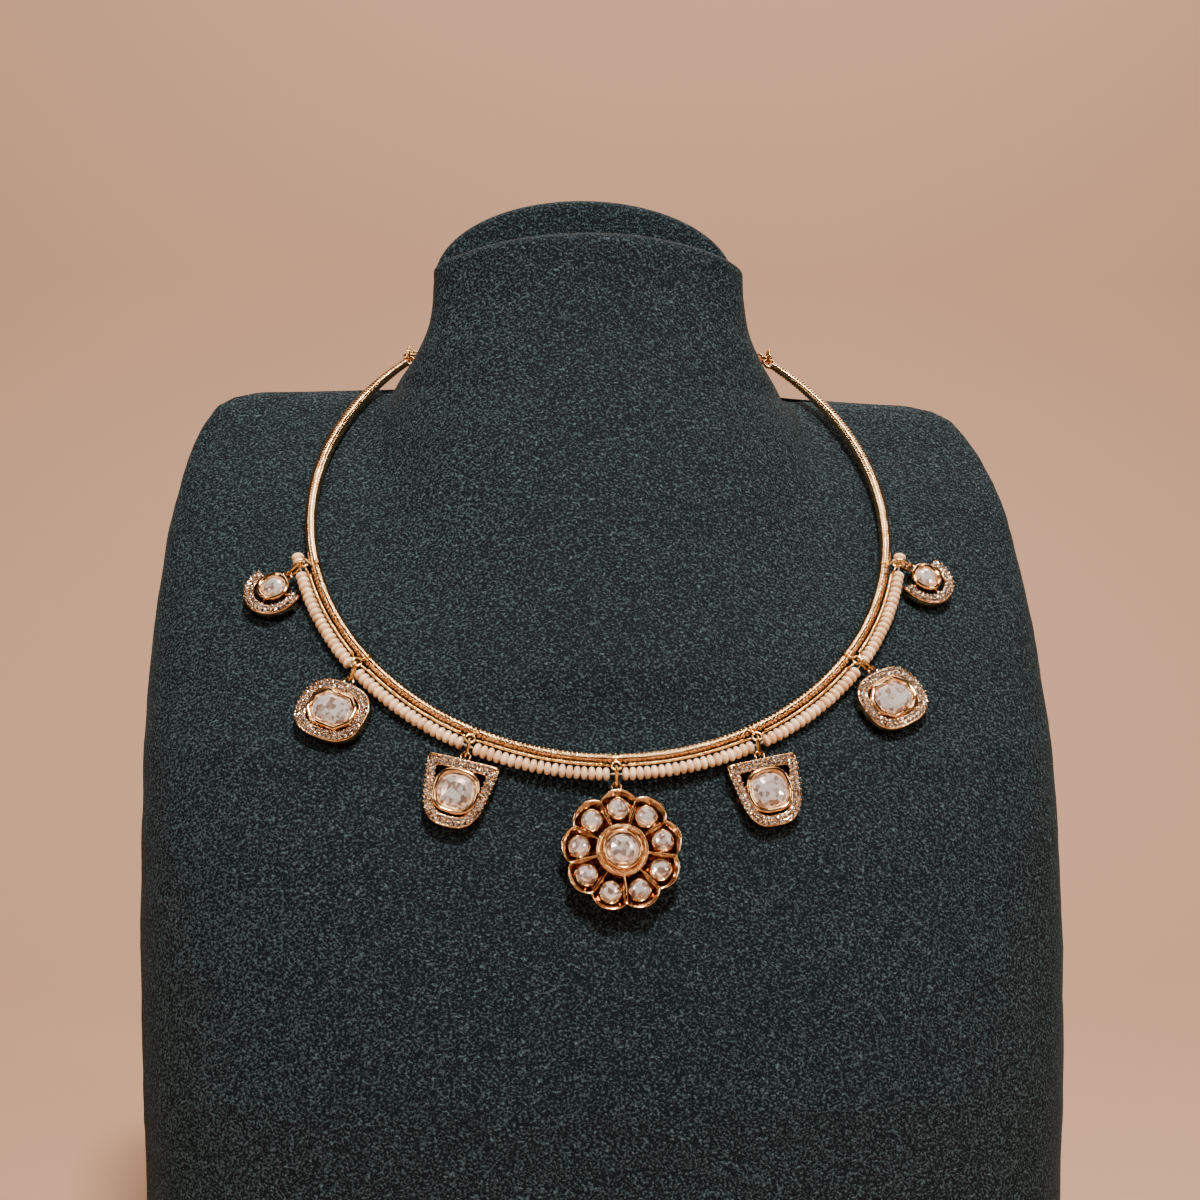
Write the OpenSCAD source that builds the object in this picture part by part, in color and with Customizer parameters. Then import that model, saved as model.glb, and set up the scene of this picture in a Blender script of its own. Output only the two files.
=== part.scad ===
// Collar necklace of a ridged gold tube, a rail wire and a row of small pearls,
// with seven stone-set drops, shown on a velvet neck bust.
// Millimetres. X to the right as seen from the front, Y to the back, Z up,
// base of the bust at zero. Left and right in names are as seen from the front.

/* [Neck bust] */
// Width of the bust at its widest
bust_w = 203.6; // [196:0.2:212]
// Depth of the bust from its flat back to the chest
bust_d = 96.5; // [92:0.5:102]
// Height of the shoulders above the base
shoulder_h = 219.3; // [205:0.1:235]
// How much lower the right end of the shoulders is than the left end
shoulder_drop = 3; // [0:0.5:6]
// Width of the neck near its top
neck_w = 72.6; // [68:0.2:80]
// Height of the front of the neck above the shoulders
neck_h = 35.7; // [30:0.1:42]
// How far the foot of the neck spreads on each side
neck_flare = 17; // [12:0.5:20]
// How far the neck stands to one side of the middle
neck_shift = -1.7; // [-4:0.1:4]
// Thickness of the panel behind the neck
panel_t = 8; // [5:0.5:10]
// Height of the arched panel above the front of the neck
panel_rise = 12; // [8:0.5:16]

/* [Collar] */
// Radius of the collar to the middle of its tube
collar_r = 64.5; // [62:0.1:67]
// Lean of the collar from upright
collar_lean = 38.2; // [36:0.2:40]
// Sideways place of the collar on the bust
collar_x = -0.8; // [-2:0.1:2]
// Height of the middle of the collar above the shoulders
collar_up = -29.3; // [-33:0.1:-26]
// Diameter of the tube in front
tube_d = 2.4; // [2:0.1:2.8]
// Diameter of the arms where they start
arm_start_d = 2.6; // [2.2:0.1:3]
// Diameter of the arms at their middle
arm_mid_d = 2.8; // [2.4:0.1:3]
// Diameter of the arms at their rear ends
arm_end_d = 2.1; // [1.8:0.1:2.4]
// Diameter of the wire inside the front tube
core_d = 1.4; // [1:0.1:1.6]
// Angle between the places where the drops hang
station_step = 26.3; // [25:0.1:27]
// Angle from the middle to the outermost drops
outer_station = 77.5; // [76.5:0.1:78.5]
// Length of the break in the tube at each drop
tube_break = 1.1; // [0.9:0.05:1.5]

/* [Rail and rings] */
// Diameter of the rail wire under the tube
rail_d = 0.7; // [0.5:0.05:0.8]
// Diameter of the fine wire of wraps, eyelets and drop eyes
eye_wire = 0.5; // [0.4:0.05:0.6]
// Radius of the eyelets to the middle of their wire
eye_r = 0.95; // [0.9:0.05:1.1]
// Diameter of the wire of the links that carry the drops
link_wire = 0.6; // [0.5:0.05:0.65]
// Half width of those links to the middle of their wire
link_r = 0.75; // [0.7:0.05:0.85]
// Diameter of the wire of the back chain
chain_wire = 0.7; // [0.6:0.05:0.8]
// Half width of the chain links to the middle of their wire
chain_r = 1.25; // [1.2:0.05:1.5]
// Length of a chain link from hook to hook
chain_pitch = 4.1; // [3.8:0.1:4.6]
// Diameter of the wire of the clasp
clasp_wire = 1.1; // [0.9:0.1:1.3]

/* [Pearls] */
// Diameter of the pearls
pearl_d = 2.85; // [2.4:0.05:3]
// Thickness of a pearl along the thread
pearl_t = 1.36; // [1.1:0.02:1.6]
// Space between neighbouring pearls
pearl_gap = 0.12; // [0.1:0.01:0.2]
// Diameter of the hole through a pearl
pearl_hole = 0.7; // [0.6:0.05:0.9]
// Diameter of the thread
thread_d = 0.4; // [0.3:0.05:0.5]
// Distance of the pearls from the middle of the tube
pearl_drop = 3.4; // [3.4:0.05:4]

/* [Flower drop] */
// Radius of the flower to the tips of its petals
flower_r = 12.4; // [11.5:0.1:13.5]
// Height of the petal rims
flower_h = 4; // [3.5:0.1:4.5]
// Radius of one petal at its rim
petal_r = 4.4; // [4:0.1:4.6]
// Thickness of the walls between petals
petal_wall = 0.45; // [0.3:0.05:0.6]
// Diameter of the petal stones
petal_stone_d = 4; // [3.4:0.1:4.2]
// Diameter of the middle stone
flower_stone_d = 6.7; // [6:0.1:7.2]

/* [Side drops] */
// Width of the shield drops at their straight top
shield_w = 15.5; // [15:0.1:16]
// Height of the shield drops
shield_h = 14.4; // [14:0.1:15]
// Width of the oval drops
oval_w = 15.4; // [14.8:0.1:16]
// Height of the oval drops
oval_h = 13.6; // [13:0.1:14.2]
// Outer diameter of the crescent drops
crescent_d = 13; // [12.6:0.1:13.4]
// Opening angle of the crescents
crescent_gap = 145; // [130:5:155]
// Width of the bands that hold small stones
band_w = 1.85; // [1.6:0.05:2]
// Thickness of the bands
band_t = 2.8; // [2.4:0.1:3.2]
// Width of the shield stones
shield_stone_w = 7.8; // [7.4:0.1:8]
// Height of the shield stones
shield_stone_h = 7.7; // [7.3:0.1:7.9]
// Length of the eight-sided stones
oct_stone_l = 9; // [8.6:0.1:9.4]
// Width of the eight-sided stones
oct_stone_w = 6.9; // [6.5:0.1:7.3]
// Diameter of the crescent stones
crescent_stone_d = 5.3; // [5:0.1:5.6]
// Thickness of the walls round the large stones
bezel_t = 0.8; // [0.6:0.05:0.9]

/* [Hidden] */
$fn = 48;
// Gap between parts that touch on the real piece
fit = 0.1;
// Gap between the metal and the velvet it lies on
lay = 0.25;
// Number of petals of the flower
petals = 9;

// Colours
velvet = [0.10, 0.20, 0.22];
gold = [0.83, 0.62, 0.38];
pearl_cream = [0.93, 0.84, 0.76];
crystal = [0.85, 0.80, 0.80];
silk = [0.90, 0.86, 0.78];

// Small vector tools
function unit(v) = v / norm(v);
function tidy(length) = 0.02 * round(length / 0.02);
function column(table, c) = [for (row = table) [row[0], row[c]]];

// Places a child so that its x, y and z axes point along the given directions
module frame_at(origin, x_dir, y_dir) {
    z_dir = cross(x_dir, y_dir);
    multmatrix([
        [x_dir.x, y_dir.x, z_dir.x, origin.x],
        [x_dir.y, y_dir.y, z_dir.y, origin.y],
        [x_dir.z, y_dir.z, z_dir.z, origin.z],
        [0, 0, 0, 1]
    ]) children();
}

// Neck bust: outline of the velvet body as stacked sections
// Columns: height share, half width share, front depth share, depth share of the
// widest line, back inset share, roundness of the front
BODY = [
    [0.000, 0.938, 0.979, 0.523, 0.005, 3.2],
    [0.018, 0.958, 0.995, 0.523, 0.000, 3.0],
    [0.182, 0.974, 1.000, 0.523, 0.000, 2.7],
    [0.319, 0.986, 0.979, 0.523, 0.000, 2.6],
    [0.433, 0.994, 0.933, 0.503, 0.000, 2.5],
    [0.547, 0.998, 0.865, 0.461, 0.000, 2.5],
    [0.638, 1.000, 0.791, 0.409, 0.000, 2.4],
    [0.684, 0.999, 0.717, 0.358, 0.000, 2.4],
    [0.752, 0.992, 0.612, 0.295, 0.000, 2.5],
    [0.812, 0.980, 0.500, 0.244, 0.000, 2.5],
    [0.848, 0.972, 0.436, 0.207, 0.000, 2.5],
    [0.878, 0.960, 0.383, 0.181, 0.000, 2.6],
    [0.910, 0.943, 0.317, 0.155, 0.002, 2.7],
    [0.940, 0.919, 0.250, 0.130, 0.005, 2.8],
    [0.963, 0.894, 0.205, 0.109, 0.009, 2.9],
    [0.982, 0.864, 0.165, 0.093, 0.020, 3.0],
    [0.992, 0.825, 0.138, 0.088, 0.036, 3.0],
    [0.998, 0.766, 0.116, 0.085, 0.057, 3.0],
    [1.000, 0.648, 0.097, 0.085, 0.073, 3.0]
];
BODY_W = column(BODY, 1);
BODY_F = column(BODY, 2);
BODY_M = column(BODY, 3);
BODY_B = column(BODY, 4);
BODY_N = column(BODY, 5);
// Neck sections: height share and inset of the rounded edge
NECK = [
    [0.02, 0], [0.06, 0], [0.13, 0], [0.22, 0], [0.33, 0], [0.46, 0], [0.575, 0],
    [0.585, 0], [0.75, 0], [0.90, 0], [0.97, 0.6], [1.00, 2.2]
];
// Above this share of its height the neck is cut back for the rear panel
neck_cut = 0.58;
// Depth shares of the line round which the neck sections are drawn
NECK_MID = [[0, 0.085], [0.12, 0.14], [0.3, 0.18], [1, 0.18]];
// Half width of the clasp to the middle of its wire
clasp_r = 1.9;
// Points round one section, and how flat they are spread
ring_n = 56;
ring_flat = 0.45;
// The chain behind the neck stands out by this much, and the whole is centred with it
chain_off = lay + chain_r + chain_wire / 2;
chain_stick = chain_off + chain_r + chain_wire / 2;
back_y = bust_d / 2 - chain_stick / 2;
// Height above the shoulders where the foot of the neck is half spread, and how softly it spreads
flare_mid = 2.6;
flare_soft = 6;
// Forward slope of the front of the neck, and the height over which it turns upright
neck_slope = 0.45;
slope_soft = 8;
// Height above the shoulders where the front of the neck turns upright
slope_top = 20.7;
// Depth of the neck from its front to the flat back
neck_d = 32.6;
// Fall of the neck's top from its middle to its sides
neck_dome = 6;
// The neck runs out into the chest over this height below the shoulders
fade_low = 110;
fade_high = 60;
// Roundness of the back, of the neck's front and back, and of the join of neck and body
back_round = 6;
neck_front_round = 2.2;
neck_back_round = 2.8;
join_round = 8;

function smooth(s) = let(t = max(0, min(1, s))) t * t * (3 - 2 * t);
function superellipse(a, w, d, n) =
    pow(pow(abs(cos(a)) / w, n) + pow(abs(sin(a)) / d, n), -1 / n);
function neck_half(rise) = neck_w / 2 + neck_flare / (1 + exp((rise - flare_mid) / flare_soft));
function neck_front(rise) =
    neck_d + neck_slope * slope_soft * ln(1 + exp((slope_top - rise) / slope_soft));
function neck_fade(rise) = smooth((rise + fade_low) / (fade_low - fade_high));
function shift_at(z) = neck_shift * smooth((z - shoulder_h + 29) / 40);
function mid_depth(z) = bust_d * (z <= shoulder_h ? lookup(z / shoulder_h, BODY_M)
    : lookup((z - shoulder_h) / neck_h, NECK_MID));
function body_radius(a, z) =
    let(s = z / shoulder_h, mid = mid_depth(z))
    sin(a) < 0
        ? superellipse(a, lookup(s, BODY_W) * bust_w / 2, lookup(s, BODY_F) * bust_d - mid,
            lookup(s, BODY_N))
        : superellipse(a, lookup(s, BODY_W) * bust_w / 2, mid - lookup(s, BODY_B) * bust_d,
            back_round);
function neck_radius(a, z, back_gap) =
    let(rise = z - shoulder_h, mid = mid_depth(z))
    neck_fade(rise) * (sin(a) < 0
        ? superellipse(a, neck_half(rise), neck_front(rise) - mid, neck_front_round)
        : superellipse(a, neck_half(rise), mid - back_gap, neck_back_round));
// Radius of a section with the body and the neck flowing into each other
function section_radius(a, z) =
    z > shoulder_h ? neck_radius(a, z, z > shoulder_h + neck_cut * neck_h ? panel_t + lay : 0)
    : let(r = pow(pow(body_radius(a, z), join_round) + pow(neck_radius(a, z, 0), join_round),
            1 / join_round))
        sin(a) > 0 ? min(r, mid_depth(z) / sin(a)) : r;
// The shoulders slope to one side, and the neck's top falls to its sides
function lean_share(z) = z > shoulder_h ? max(0, 1 - (z - shoulder_h) / 20)
    : pow(z / shoulder_h, 3);
function height_at(x, z) =
    z - shoulder_drop * (x / bust_w) * lean_share(z)
    - (z > shoulder_h ? neck_dome * pow((z - shoulder_h) / neck_h, 2)
        * pow((x - neck_shift) / (neck_w / 2), 2) : 0);
function section(z, inset) = [
    for (i = [0:ring_n - 1])
        let(u = i * 360 / ring_n, a = atan2(ring_flat * sin(u), cos(u)),
            r = section_radius(a, z) - inset, x = shift_at(z) + r * cos(a))
        [x, back_y - mid_depth(z) + r * sin(a), height_at(x, z)]
];
// Angle at which a section reaches a sideways place, found by halving
function angle_at(x, z, low, high, steps) =
    let(a = (low + high) / 2)
    steps == 0 ? a
    : section_radius(a, z) * cos(a) < x ? angle_at(x, z, a, high, steps - 1)
    : angle_at(x, z, low, a, steps - 1);
// Place of the front surface of the bust, and its outward direction
function chest_y(x, height) =
    let(z = height + shoulder_drop * (x / bust_w) * lean_share(height),
        a = angle_at(abs(x - shift_at(z)), z, -90, -2, 16))
    back_y - mid_depth(z) + section_radius(a, z) * sin(a);
slope_step = 6;
function chest_slope(x, z) = [
    (chest_y(x + slope_step, z) - chest_y(x - slope_step, z)) / (2 * slope_step),
    -1,
    (chest_y(x, z + slope_step) - chest_y(x, z - slope_step)) / (2 * slope_step)
];
function chest_out(x, z) = unit(chest_slope(x, z));

// A closed skin over stacked rings of the same number of points
module skin(rings) {
    n = len(rings[0]);
    last = len(rings) - 1;
    low = len(rings) * n;
    polyhedron(
        points = concat([for (ring = rings) each ring], [center(rings[0]), center(rings[last])]),
        faces = concat(
            [for (k = [0:last - 1], i = [0:n - 1])
                [k * n + i, (k + 1) * n + i, k * n + (i + 1) % n]],
            [for (k = [0:last - 1], i = [0:n - 1])
                [k * n + (i + 1) % n, (k + 1) * n + i, (k + 1) * n + (i + 1) % n]],
            [for (i = [0:n - 1]) [low, i, (i + 1) % n]],
            [for (i = [0:n - 1]) [low + 1, last * n + (i + 1) % n, last * n + i]]),
        convexity = 6);
}
function center(ring) = let(n = len(ring)) [for (c = [0:2]) total([for (p = ring) p[c]]) / n];
function total(list) = [for (v = list) 1] * list;

module neck_bust() {
    color(velvet) skin(concat(
        [for (row = BODY) section(row[0] * shoulder_h, 0)],
        [for (row = NECK) section(shoulder_h + row[0] * neck_h, row[1])]));
}

// Rear panel: an arch that stands behind the neck and shows above it
arch_n = 28;
panel_foot = shoulder_h + neck_cut * neck_h + lay;
panel_side = shoulder_h + neck_h - 7.5;
panel_top = shoulder_h + neck_h + panel_rise;
// Thickness of the panel at its sides, before its back curves round
panel_side_t = 3;

module neck_panel() {
    half = neck_w / 2;
    color(velvet) intersection() {
        translate([neck_shift, back_y, 0]) rotate([90, 0, 0]) linear_extrude(panel_t)
            polygon(concat([[half, panel_foot], [-half, panel_foot]],
                [for (i = [0:arch_n]) let(a = 180 - i * 180 / arch_n)
                    [half * cos(a), panel_side + (panel_top - panel_side) * sin(a)]]));
        translate([neck_shift, back_y - panel_t + panel_side_t, panel_foot - 1])
            linear_extrude(panel_top - panel_foot + 2)
            polygon(concat([[half, -3], [-half, -3]],
                [for (i = [0:arch_n]) let(a = 180 - i * 180 / arch_n,
                        r = superellipse(a, half, panel_t - panel_side_t, 3))
                    [r * cos(a), r * sin(a)]]));
    }
}

// Collar: a circle that leans back and lies on the chest
collar_z = shoulder_h + collar_up;
function ring_dir(t) = [sin(t), -cos(t) * sin(collar_lean), -cos(t) * cos(collar_lean)];
face_dir = [0, -cos(collar_lean), sin(collar_lean)];
break_angle = tube_break / collar_r * 180 / PI;
STATIONS = [-outer_station, -2 * station_step, -station_step, 0,
    station_step, 2 * station_step, outer_station];
arm_from = outer_station + break_angle / 2;
// Clearance between the neck and the rear ends of the arms
neck_clear = 7.7;
arm_to = 180 - asin((neck_w / 2 + neck_clear) / collar_r);
// Diameter of the arm along its length, as shares of the length
function arm_d(s) = lookup(s, [
    [0, arm_start_d], [0.2, arm_start_d + 0.7 * (arm_mid_d - arm_start_d)], [0.4, arm_mid_d],
    [0.6, arm_mid_d], [0.8, arm_mid_d + 0.5 * (arm_end_d - arm_mid_d)], [1, arm_end_d]
]);
function tube_at(t) = t < arm_from ? tube_d : arm_d((t - arm_from) / (arm_to - arm_from));

// Where the middle of the collar must stand for a wire of it to clear the chest
function seat_for(t, r, out, wire_r) =
    let(p = r * ring_dir(t) + out * face_dir, x = p.x + collar_x, z = p.z + collar_z)
    chest_y(x, z) - p.y - (wire_r + lay) * norm(chest_slope(x, z));
pearl_r = collar_r + pearl_drop;
pearl_back = -0.6;
SEATS = concat([for (t = [-100:5:100]) seat_for(t, collar_r, 0, tube_at(abs(t)) / 2)],
    [for (t = [-80:4:80]) seat_for(t, pearl_r, pearl_back, pearl_d / 2)]);
collar_y = min(SEATS);
collar_mid = [collar_x, collar_y, collar_z];
function collar_point(t, r, out) = collar_mid + r * ring_dir(t) + out * face_dir;

module in_collar() {
    translate(collar_mid) rotate([90 - collar_lean, 0, 0]) children();
}
// Local place at an angle of the collar: x outward, y along the tube, z to the front
module at_angle(t) {
    rotate([0, 0, t - 90]) children();
}
module arc_tube(r, d, from, to) {
    at_angle(from) rotate_extrude(angle = to - from) translate([r, 0]) circle(d = d);
}
module ring_wire(r, d) {
    rotate_extrude() translate([r, 0]) circle(d = d);
}
module rod(p, q, d) {
    v = q - p;
    translate(p) rotate([0, acos(v.z / norm(v)), atan2(v.y, v.x)]) cylinder(d = d, h = norm(v));
}
// A closed oval of wire, long along y, measured to the middle of its wire
module oval_wire(straight, r, d) {
    for (s = [0, 180]) rotate([0, 0, s]) {
        translate([0, straight / 2, 0]) rotate_extrude(angle = 180)
            translate([r, 0]) circle(d = d);
        translate([r, -straight / 2, 0]) rotate([-90, 0, 0]) cylinder(d = d, h = straight);
    }
}

arm_rings = 24;
arm_sides = 14;
arm_eye_r = 1.2;
// The flat eye at the end of an arm stands this far beyond the tube
arm_eye_out = 1;
arm_eye_t = 0.9;

module collar_arm() {
    rings = [
        for (k = [0:arm_rings])
            let(s = k / arm_rings, t = arm_from + s * (arm_to - arm_from), r = arm_d(s) / 2)
            [for (i = [0:arm_sides - 1]) let(a = i * 360 / arm_sides)
                (collar_r + r * cos(a)) * [sin(t), -cos(t), 0] - [0, 0, r * sin(a)]]
    ];
    difference() {
        skin(rings);
        at_angle(arm_to) translate([collar_r, arm_eye_out, -arm_eye_t])
            cylinder(r = arm_eye_r - chain_wire / 2, h = 2 * arm_eye_t);
    }
    at_angle(arm_to) translate([collar_r, arm_eye_out, -arm_eye_t / 2]) difference() {
        cylinder(r = arm_eye_r + chain_wire / 2, h = arm_eye_t);
        translate([0, 0, -1]) cylinder(r = arm_eye_r - chain_wire / 2, h = arm_eye_t + 2);
    }
}
module collar_arm_right() {
    color(gold) in_collar() collar_arm();
}
module collar_arm_left() {
    color(gold) in_collar() mirror([1, 0, 0]) collar_arm();
}

// Front tube: six sleeves on a core wire, parted where the drops hang
module tube_sleeve(k) {
    color(gold) in_collar() difference() {
        arc_tube(collar_r, tube_d, STATIONS[k - 1] + break_angle / 2, STATIONS[k] - break_angle / 2);
        arc_tube(collar_r, core_d + 2 * fit, STATIONS[k - 1], STATIONS[k]);
    }
}
core_to = arm_from - fit;
module core_wire() {
    color(gold) in_collar() arc_tube(collar_r, core_d, -core_to, core_to);
}

// Rail wire under the tube, with a wrap round the core and an eyelet at each drop
wrap_r = core_d / 2 + fit + eye_wire / 2;
rail_out = 0.35;
rail_r = collar_r + tube_d / 2 + rail_d / 2 + 0.2;
// Place of the eyelets: distance from the tube's middle, and height in front of it
eyelet_r = tube_d / 2 + eye_wire / 2 + eye_r + 0.2;
EYELET_OUT = [1.5, 1.2, 1.2, 1.2, 1.2, 1.2, 1.5];
// The rail starts to dip this far from the eyelet
dip_angle = 2.5;

granule_d = 0.6;
strut_d = 0.4;

module station_wire(t, out) {
    lift = atan2(out, eyelet_r - eye_r);
    side = [cos(lift), 0, sin(lift)];
    at_angle(t) {
        translate([collar_r, 0, 0]) rotate([90, 0, 0]) ring_wire(wrap_r, eye_wire);
        translate([collar_r + eyelet_r, 0, out]) ring_wire(eye_r, eye_wire);
        translate([collar_r, 0, 0] + wrap_r * side) sphere(d = granule_d);
        rod([collar_r, 0, 0] + wrap_r * side, [collar_r + eyelet_r - eye_r, 0, out], strut_d);
    }
}
function ring_local(t, r, out) = [r * sin(t), -r * cos(t), out];
// Side of an eyelet where the rail is soldered on
function eyelet_side(k, s) =
    ring_local(STATIONS[k], collar_r + eyelet_r, EYELET_OUT[k])
    + s * eye_r * [cos(STATIONS[k]), sin(STATIONS[k]), 0];

module rail_wire() {
    color(gold) in_collar() {
        for (k = [0:6]) station_wire(STATIONS[k], EYELET_OUT[k]);
        for (k = [0:5]) {
            from = STATIONS[k] + dip_angle;
            to = STATIONS[k + 1] - dip_angle;
            middle = (from + to) / 2;
            translate([0, 0, rail_out]) arc_tube(rail_r, rail_d, from, middle);
            translate([0, 0, rail_out]) arc_tube(rail_r, rail_d, middle, to);
            translate(ring_local(middle, rail_r, rail_out)) sphere(d = rail_d + 0.1);
            for (end = [[from, k, 1], [to, k + 1, -1]]) {
                corner = ring_local(end[0], rail_r, rail_out);
                translate(corner) sphere(d = rail_d + 0.1);
                rod(corner, eyelet_side(end[1], end[2]), strut_d);
            }
        }
    }
}

// Pearls on their thread, a little behind the tube
// Room along the thread between a drop's middle and the first pearl
pearl_margin = link_wire / 2 + 0.9;
pearl_pitch = pearl_t + pearl_gap;
pearl_turn = pearl_pitch / pearl_r * 180 / PI;
margin_turn = pearl_margin / pearl_r * 180 / PI;
// Pearls beyond each outermost drop
end_pearls = 2;

module pearl() {
    rim = pearl_t / 2;
    rotate([90, 0, 0]) rotate_extrude() union() {
        translate([pearl_d / 2 - rim, 0]) circle(r = rim);
        translate([pearl_hole / 2, -rim]) square([pearl_d / 2 - rim - pearl_hole / 2, pearl_t]);
    }
}
module pearl_row(from, to) {
    room = to - from;
    count = floor(room / pearl_turn);
    step = room / count;
    for (i = [0:count - 1]) at_angle(from + (i + 0.5) * step)
        translate([pearl_r, 0, pearl_back]) pearl();
}
module pearl_string(k) {
    color(pearl_cream) in_collar() {
        pearl_row(STATIONS[k - 1] + margin_turn, STATIONS[k] - margin_turn);
        if (k == 1)
            pearl_row(STATIONS[0] - margin_turn - end_pearls * pearl_turn, STATIONS[0] - margin_turn);
        if (k == 6)
            pearl_row(STATIONS[6] + margin_turn, STATIONS[6] + margin_turn + end_pearls * pearl_turn);
    }
}
thread_to = outer_station + margin_turn + end_pearls * pearl_turn;
module pearl_thread() {
    color(silk) in_collar() translate([0, 0, pearl_back])
        arc_tube(pearl_r, thread_d, -thread_to, thread_to);
}

// Back chain: level round the back of the neck, from the ring on each arm to the clasp
chain_gap = 0.1;
chain_corner = 8;
end_ring_r = 1.7;
clasp_straight = 3;
arm_end = ring_local(arm_to, collar_r, 0) + arm_eye_out * [cos(arm_to), sin(arm_to), 0]
    + [0, arm_eye_r - (chain_wire + chain_gap) / 2, 0];
// Middle of the ring on the right arm, in the collar's plane
ring_mid = arm_end + [0, end_ring_r - (chain_wire + chain_gap) / 2, 0];
chain_side = ring_mid.x;
chain_z = collar_z + ring_mid.y * cos(collar_lean);
// The straight part lies just behind the flat back of the neck
chain_back = back_y + chain_off;
chain_end = collar_y + ring_mid.y * sin(collar_lean) + end_ring_r - (chain_wire + chain_gap) / 2;
path_flat = chain_side - chain_corner;
path_turn = chain_corner * PI / 2;
path_drop = chain_back - chain_corner - chain_end;
path_total = path_flat + path_turn + path_drop;
clasp_reach = clasp_straight / 2 + clasp_r - (clasp_wire + chain_gap) / 2;
// An odd number, so that the upright clasp and the upright end rings both take a flat link
links_side = 2 * round(((path_total - clasp_reach) / chain_pitch - 1) / 2) + 1;
link_reach = (path_total - clasp_reach) / links_side;
chain_straight = tidy(link_reach + chain_wire + chain_gap - 2 * chain_r);
function path_point(s) =
    s < path_flat ? [s, chain_back, 0]
    : s < path_flat + path_turn
        ? let(a = (s - path_flat) / chain_corner * 180 / PI)
        [path_flat + chain_corner * sin(a), chain_back - chain_corner + chain_corner * cos(a), 0]
    : [chain_side, chain_back - chain_corner - (s - path_flat - path_turn), 0];
// A link between two points of the path, lying flat or standing upright
module path_link(from, to, upright) {
    p = path_point(from);
    q = path_point(to);
    y_dir = unit(q - p);
    across = [y_dir.y, -y_dir.x, 0];
    frame_at((p + q) / 2, upright ? [0, 0, 1] : across, y_dir)
        oval_wire(chain_straight, chain_r, chain_wire);
}
module back_chain() {
    color(gold) translate([collar_x, 0, chain_z]) for (m = [0, 1]) mirror([m, 0, 0])
        for (i = [0:links_side - 1])
            path_link(clasp_reach + i * link_reach, clasp_reach + (i + 1) * link_reach, i % 2 == 1);
}
module clasp_link() {
    color(gold) translate([collar_x, 0, chain_z])
        frame_at([0, chain_back, 0], [0, 0, 1], [1, 0, 0])
        oval_wire(clasp_straight, clasp_r, clasp_wire);
}
module end_ring() {
    frame_at(ring_mid, [0, 0, 1], [0, 1, 0]) ring_wire(end_ring_r, chain_wire);
}
module end_ring_right() {
    color(gold) in_collar() end_ring();
}
module end_ring_left() {
    color(gold) in_collar() mirror([1, 0, 0]) end_ring();
}

// Drops: what hangs at each station, from left to right
// Columns: sideways place and height from the station to the drop's middle, and turn
SIDE = 0;
DOWN = 1;
SPIN = 2;
DROPS = [
    [-8.5, -6.8, -33], [-6.6, -11.8, -21], [-4, -12.8, -13.8], [0.75, -18.9, 3.3],
    [3, -13.1, 11], [8.7, -10, 24], [9, -4.8, 38]
];
// Half sizes of the frames from their middle to the foot of the drop's eye, by station
bezel_shift = [0.1, 0.35];
crescent_bezel_r = crescent_stone_d / 2 + fit + bezel_t;
REACH = [
    bezel_shift.y + crescent_bezel_r, oval_h / 2, shield_h / 2, flower_r,
    shield_h / 2, oval_h / 2, bezel_shift.y + crescent_bezel_r
];
EYE_HEIGHT = [2.2, 2.2, 2.2, 2.4, 2.2, 2.2, 2.2];
// The foot of an eye is sunk in the frame it is soldered to
eye_sink = 0.35;
function eye_mid(k) = [0, REACH[k] - eye_sink + eye_r, EYE_HEIGHT[k]];

// Axes of a drop that lies on the chest and is turned by its spin
function drop_x(k, out) = let(up = unit([0, 0, 1] - out.z * out), s = DROPS[k][SPIN])
    cos(s) * cross(up, out) + sin(s) * up;
function drop_y(k, out) = let(up = unit([0, 0, 1] - out.z * out), s = DROPS[k][SPIN])
    cos(s) * up - sin(s) * cross(up, out);
// Lift that keeps the whole back of a drop clear of the curved chest
SEAT_R = [crescent_d / 2, oval_w / 2, shield_w / 2, flower_r, shield_w / 2, oval_w / 2,
    crescent_d / 2];
function seat_lift(k, at, out) =
    let(foot = [at.x, chest_y(at.x, at.z), at.z], dx = drop_x(k, out), dy = drop_y(k, out))
    lay + max(0, max([for (share = [0.5, 1], a = [0:30:330])
        let(p = foot + SEAT_R[k] * share * (cos(a) * dx + sin(a) * dy))
        ([p.x, chest_y(p.x, p.z), p.z] - foot) * out]));
DROP_AT = [for (k = [0:6]) collar_point(STATIONS[k], collar_r, 0)
    + [DROPS[k][SIDE], 0, DROPS[k][DOWN]]];
DROP_OUT = [for (p = DROP_AT) chest_out(p.x, p.z)];
DROP_X = [for (k = [0:6]) drop_x(k, DROP_OUT[k])];
DROP_Y = [for (k = [0:6]) drop_y(k, DROP_OUT[k])];
DROP_MID = [for (k = [0:6]) [DROP_AT[k].x, chest_y(DROP_AT[k].x, DROP_AT[k].z), DROP_AT[k].z]
    + seat_lift(k, DROP_AT[k], DROP_OUT[k]) * DROP_OUT[k]];
// Where the link hooks into the drop's eye and the eyelet, each on the side towards the other
function eye_at(k) = let(m = eye_mid(k)) DROP_MID[k] + m.y * DROP_Y[k] + m.z * DROP_OUT[k];
function eyelet_at(k) = collar_point(STATIONS[k], collar_r + eyelet_r, EYELET_OUT[k]);
function edge_of(mid, normal, towards) =
    let(v = towards - mid) mid + eye_r * unit(v - (v * normal) * normal);
function link_to(k) = edge_of(eye_at(k), DROP_OUT[k], eyelet_at(k));
function link_from(k) = edge_of(eyelet_at(k), face_dir, eye_at(k));

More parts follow.
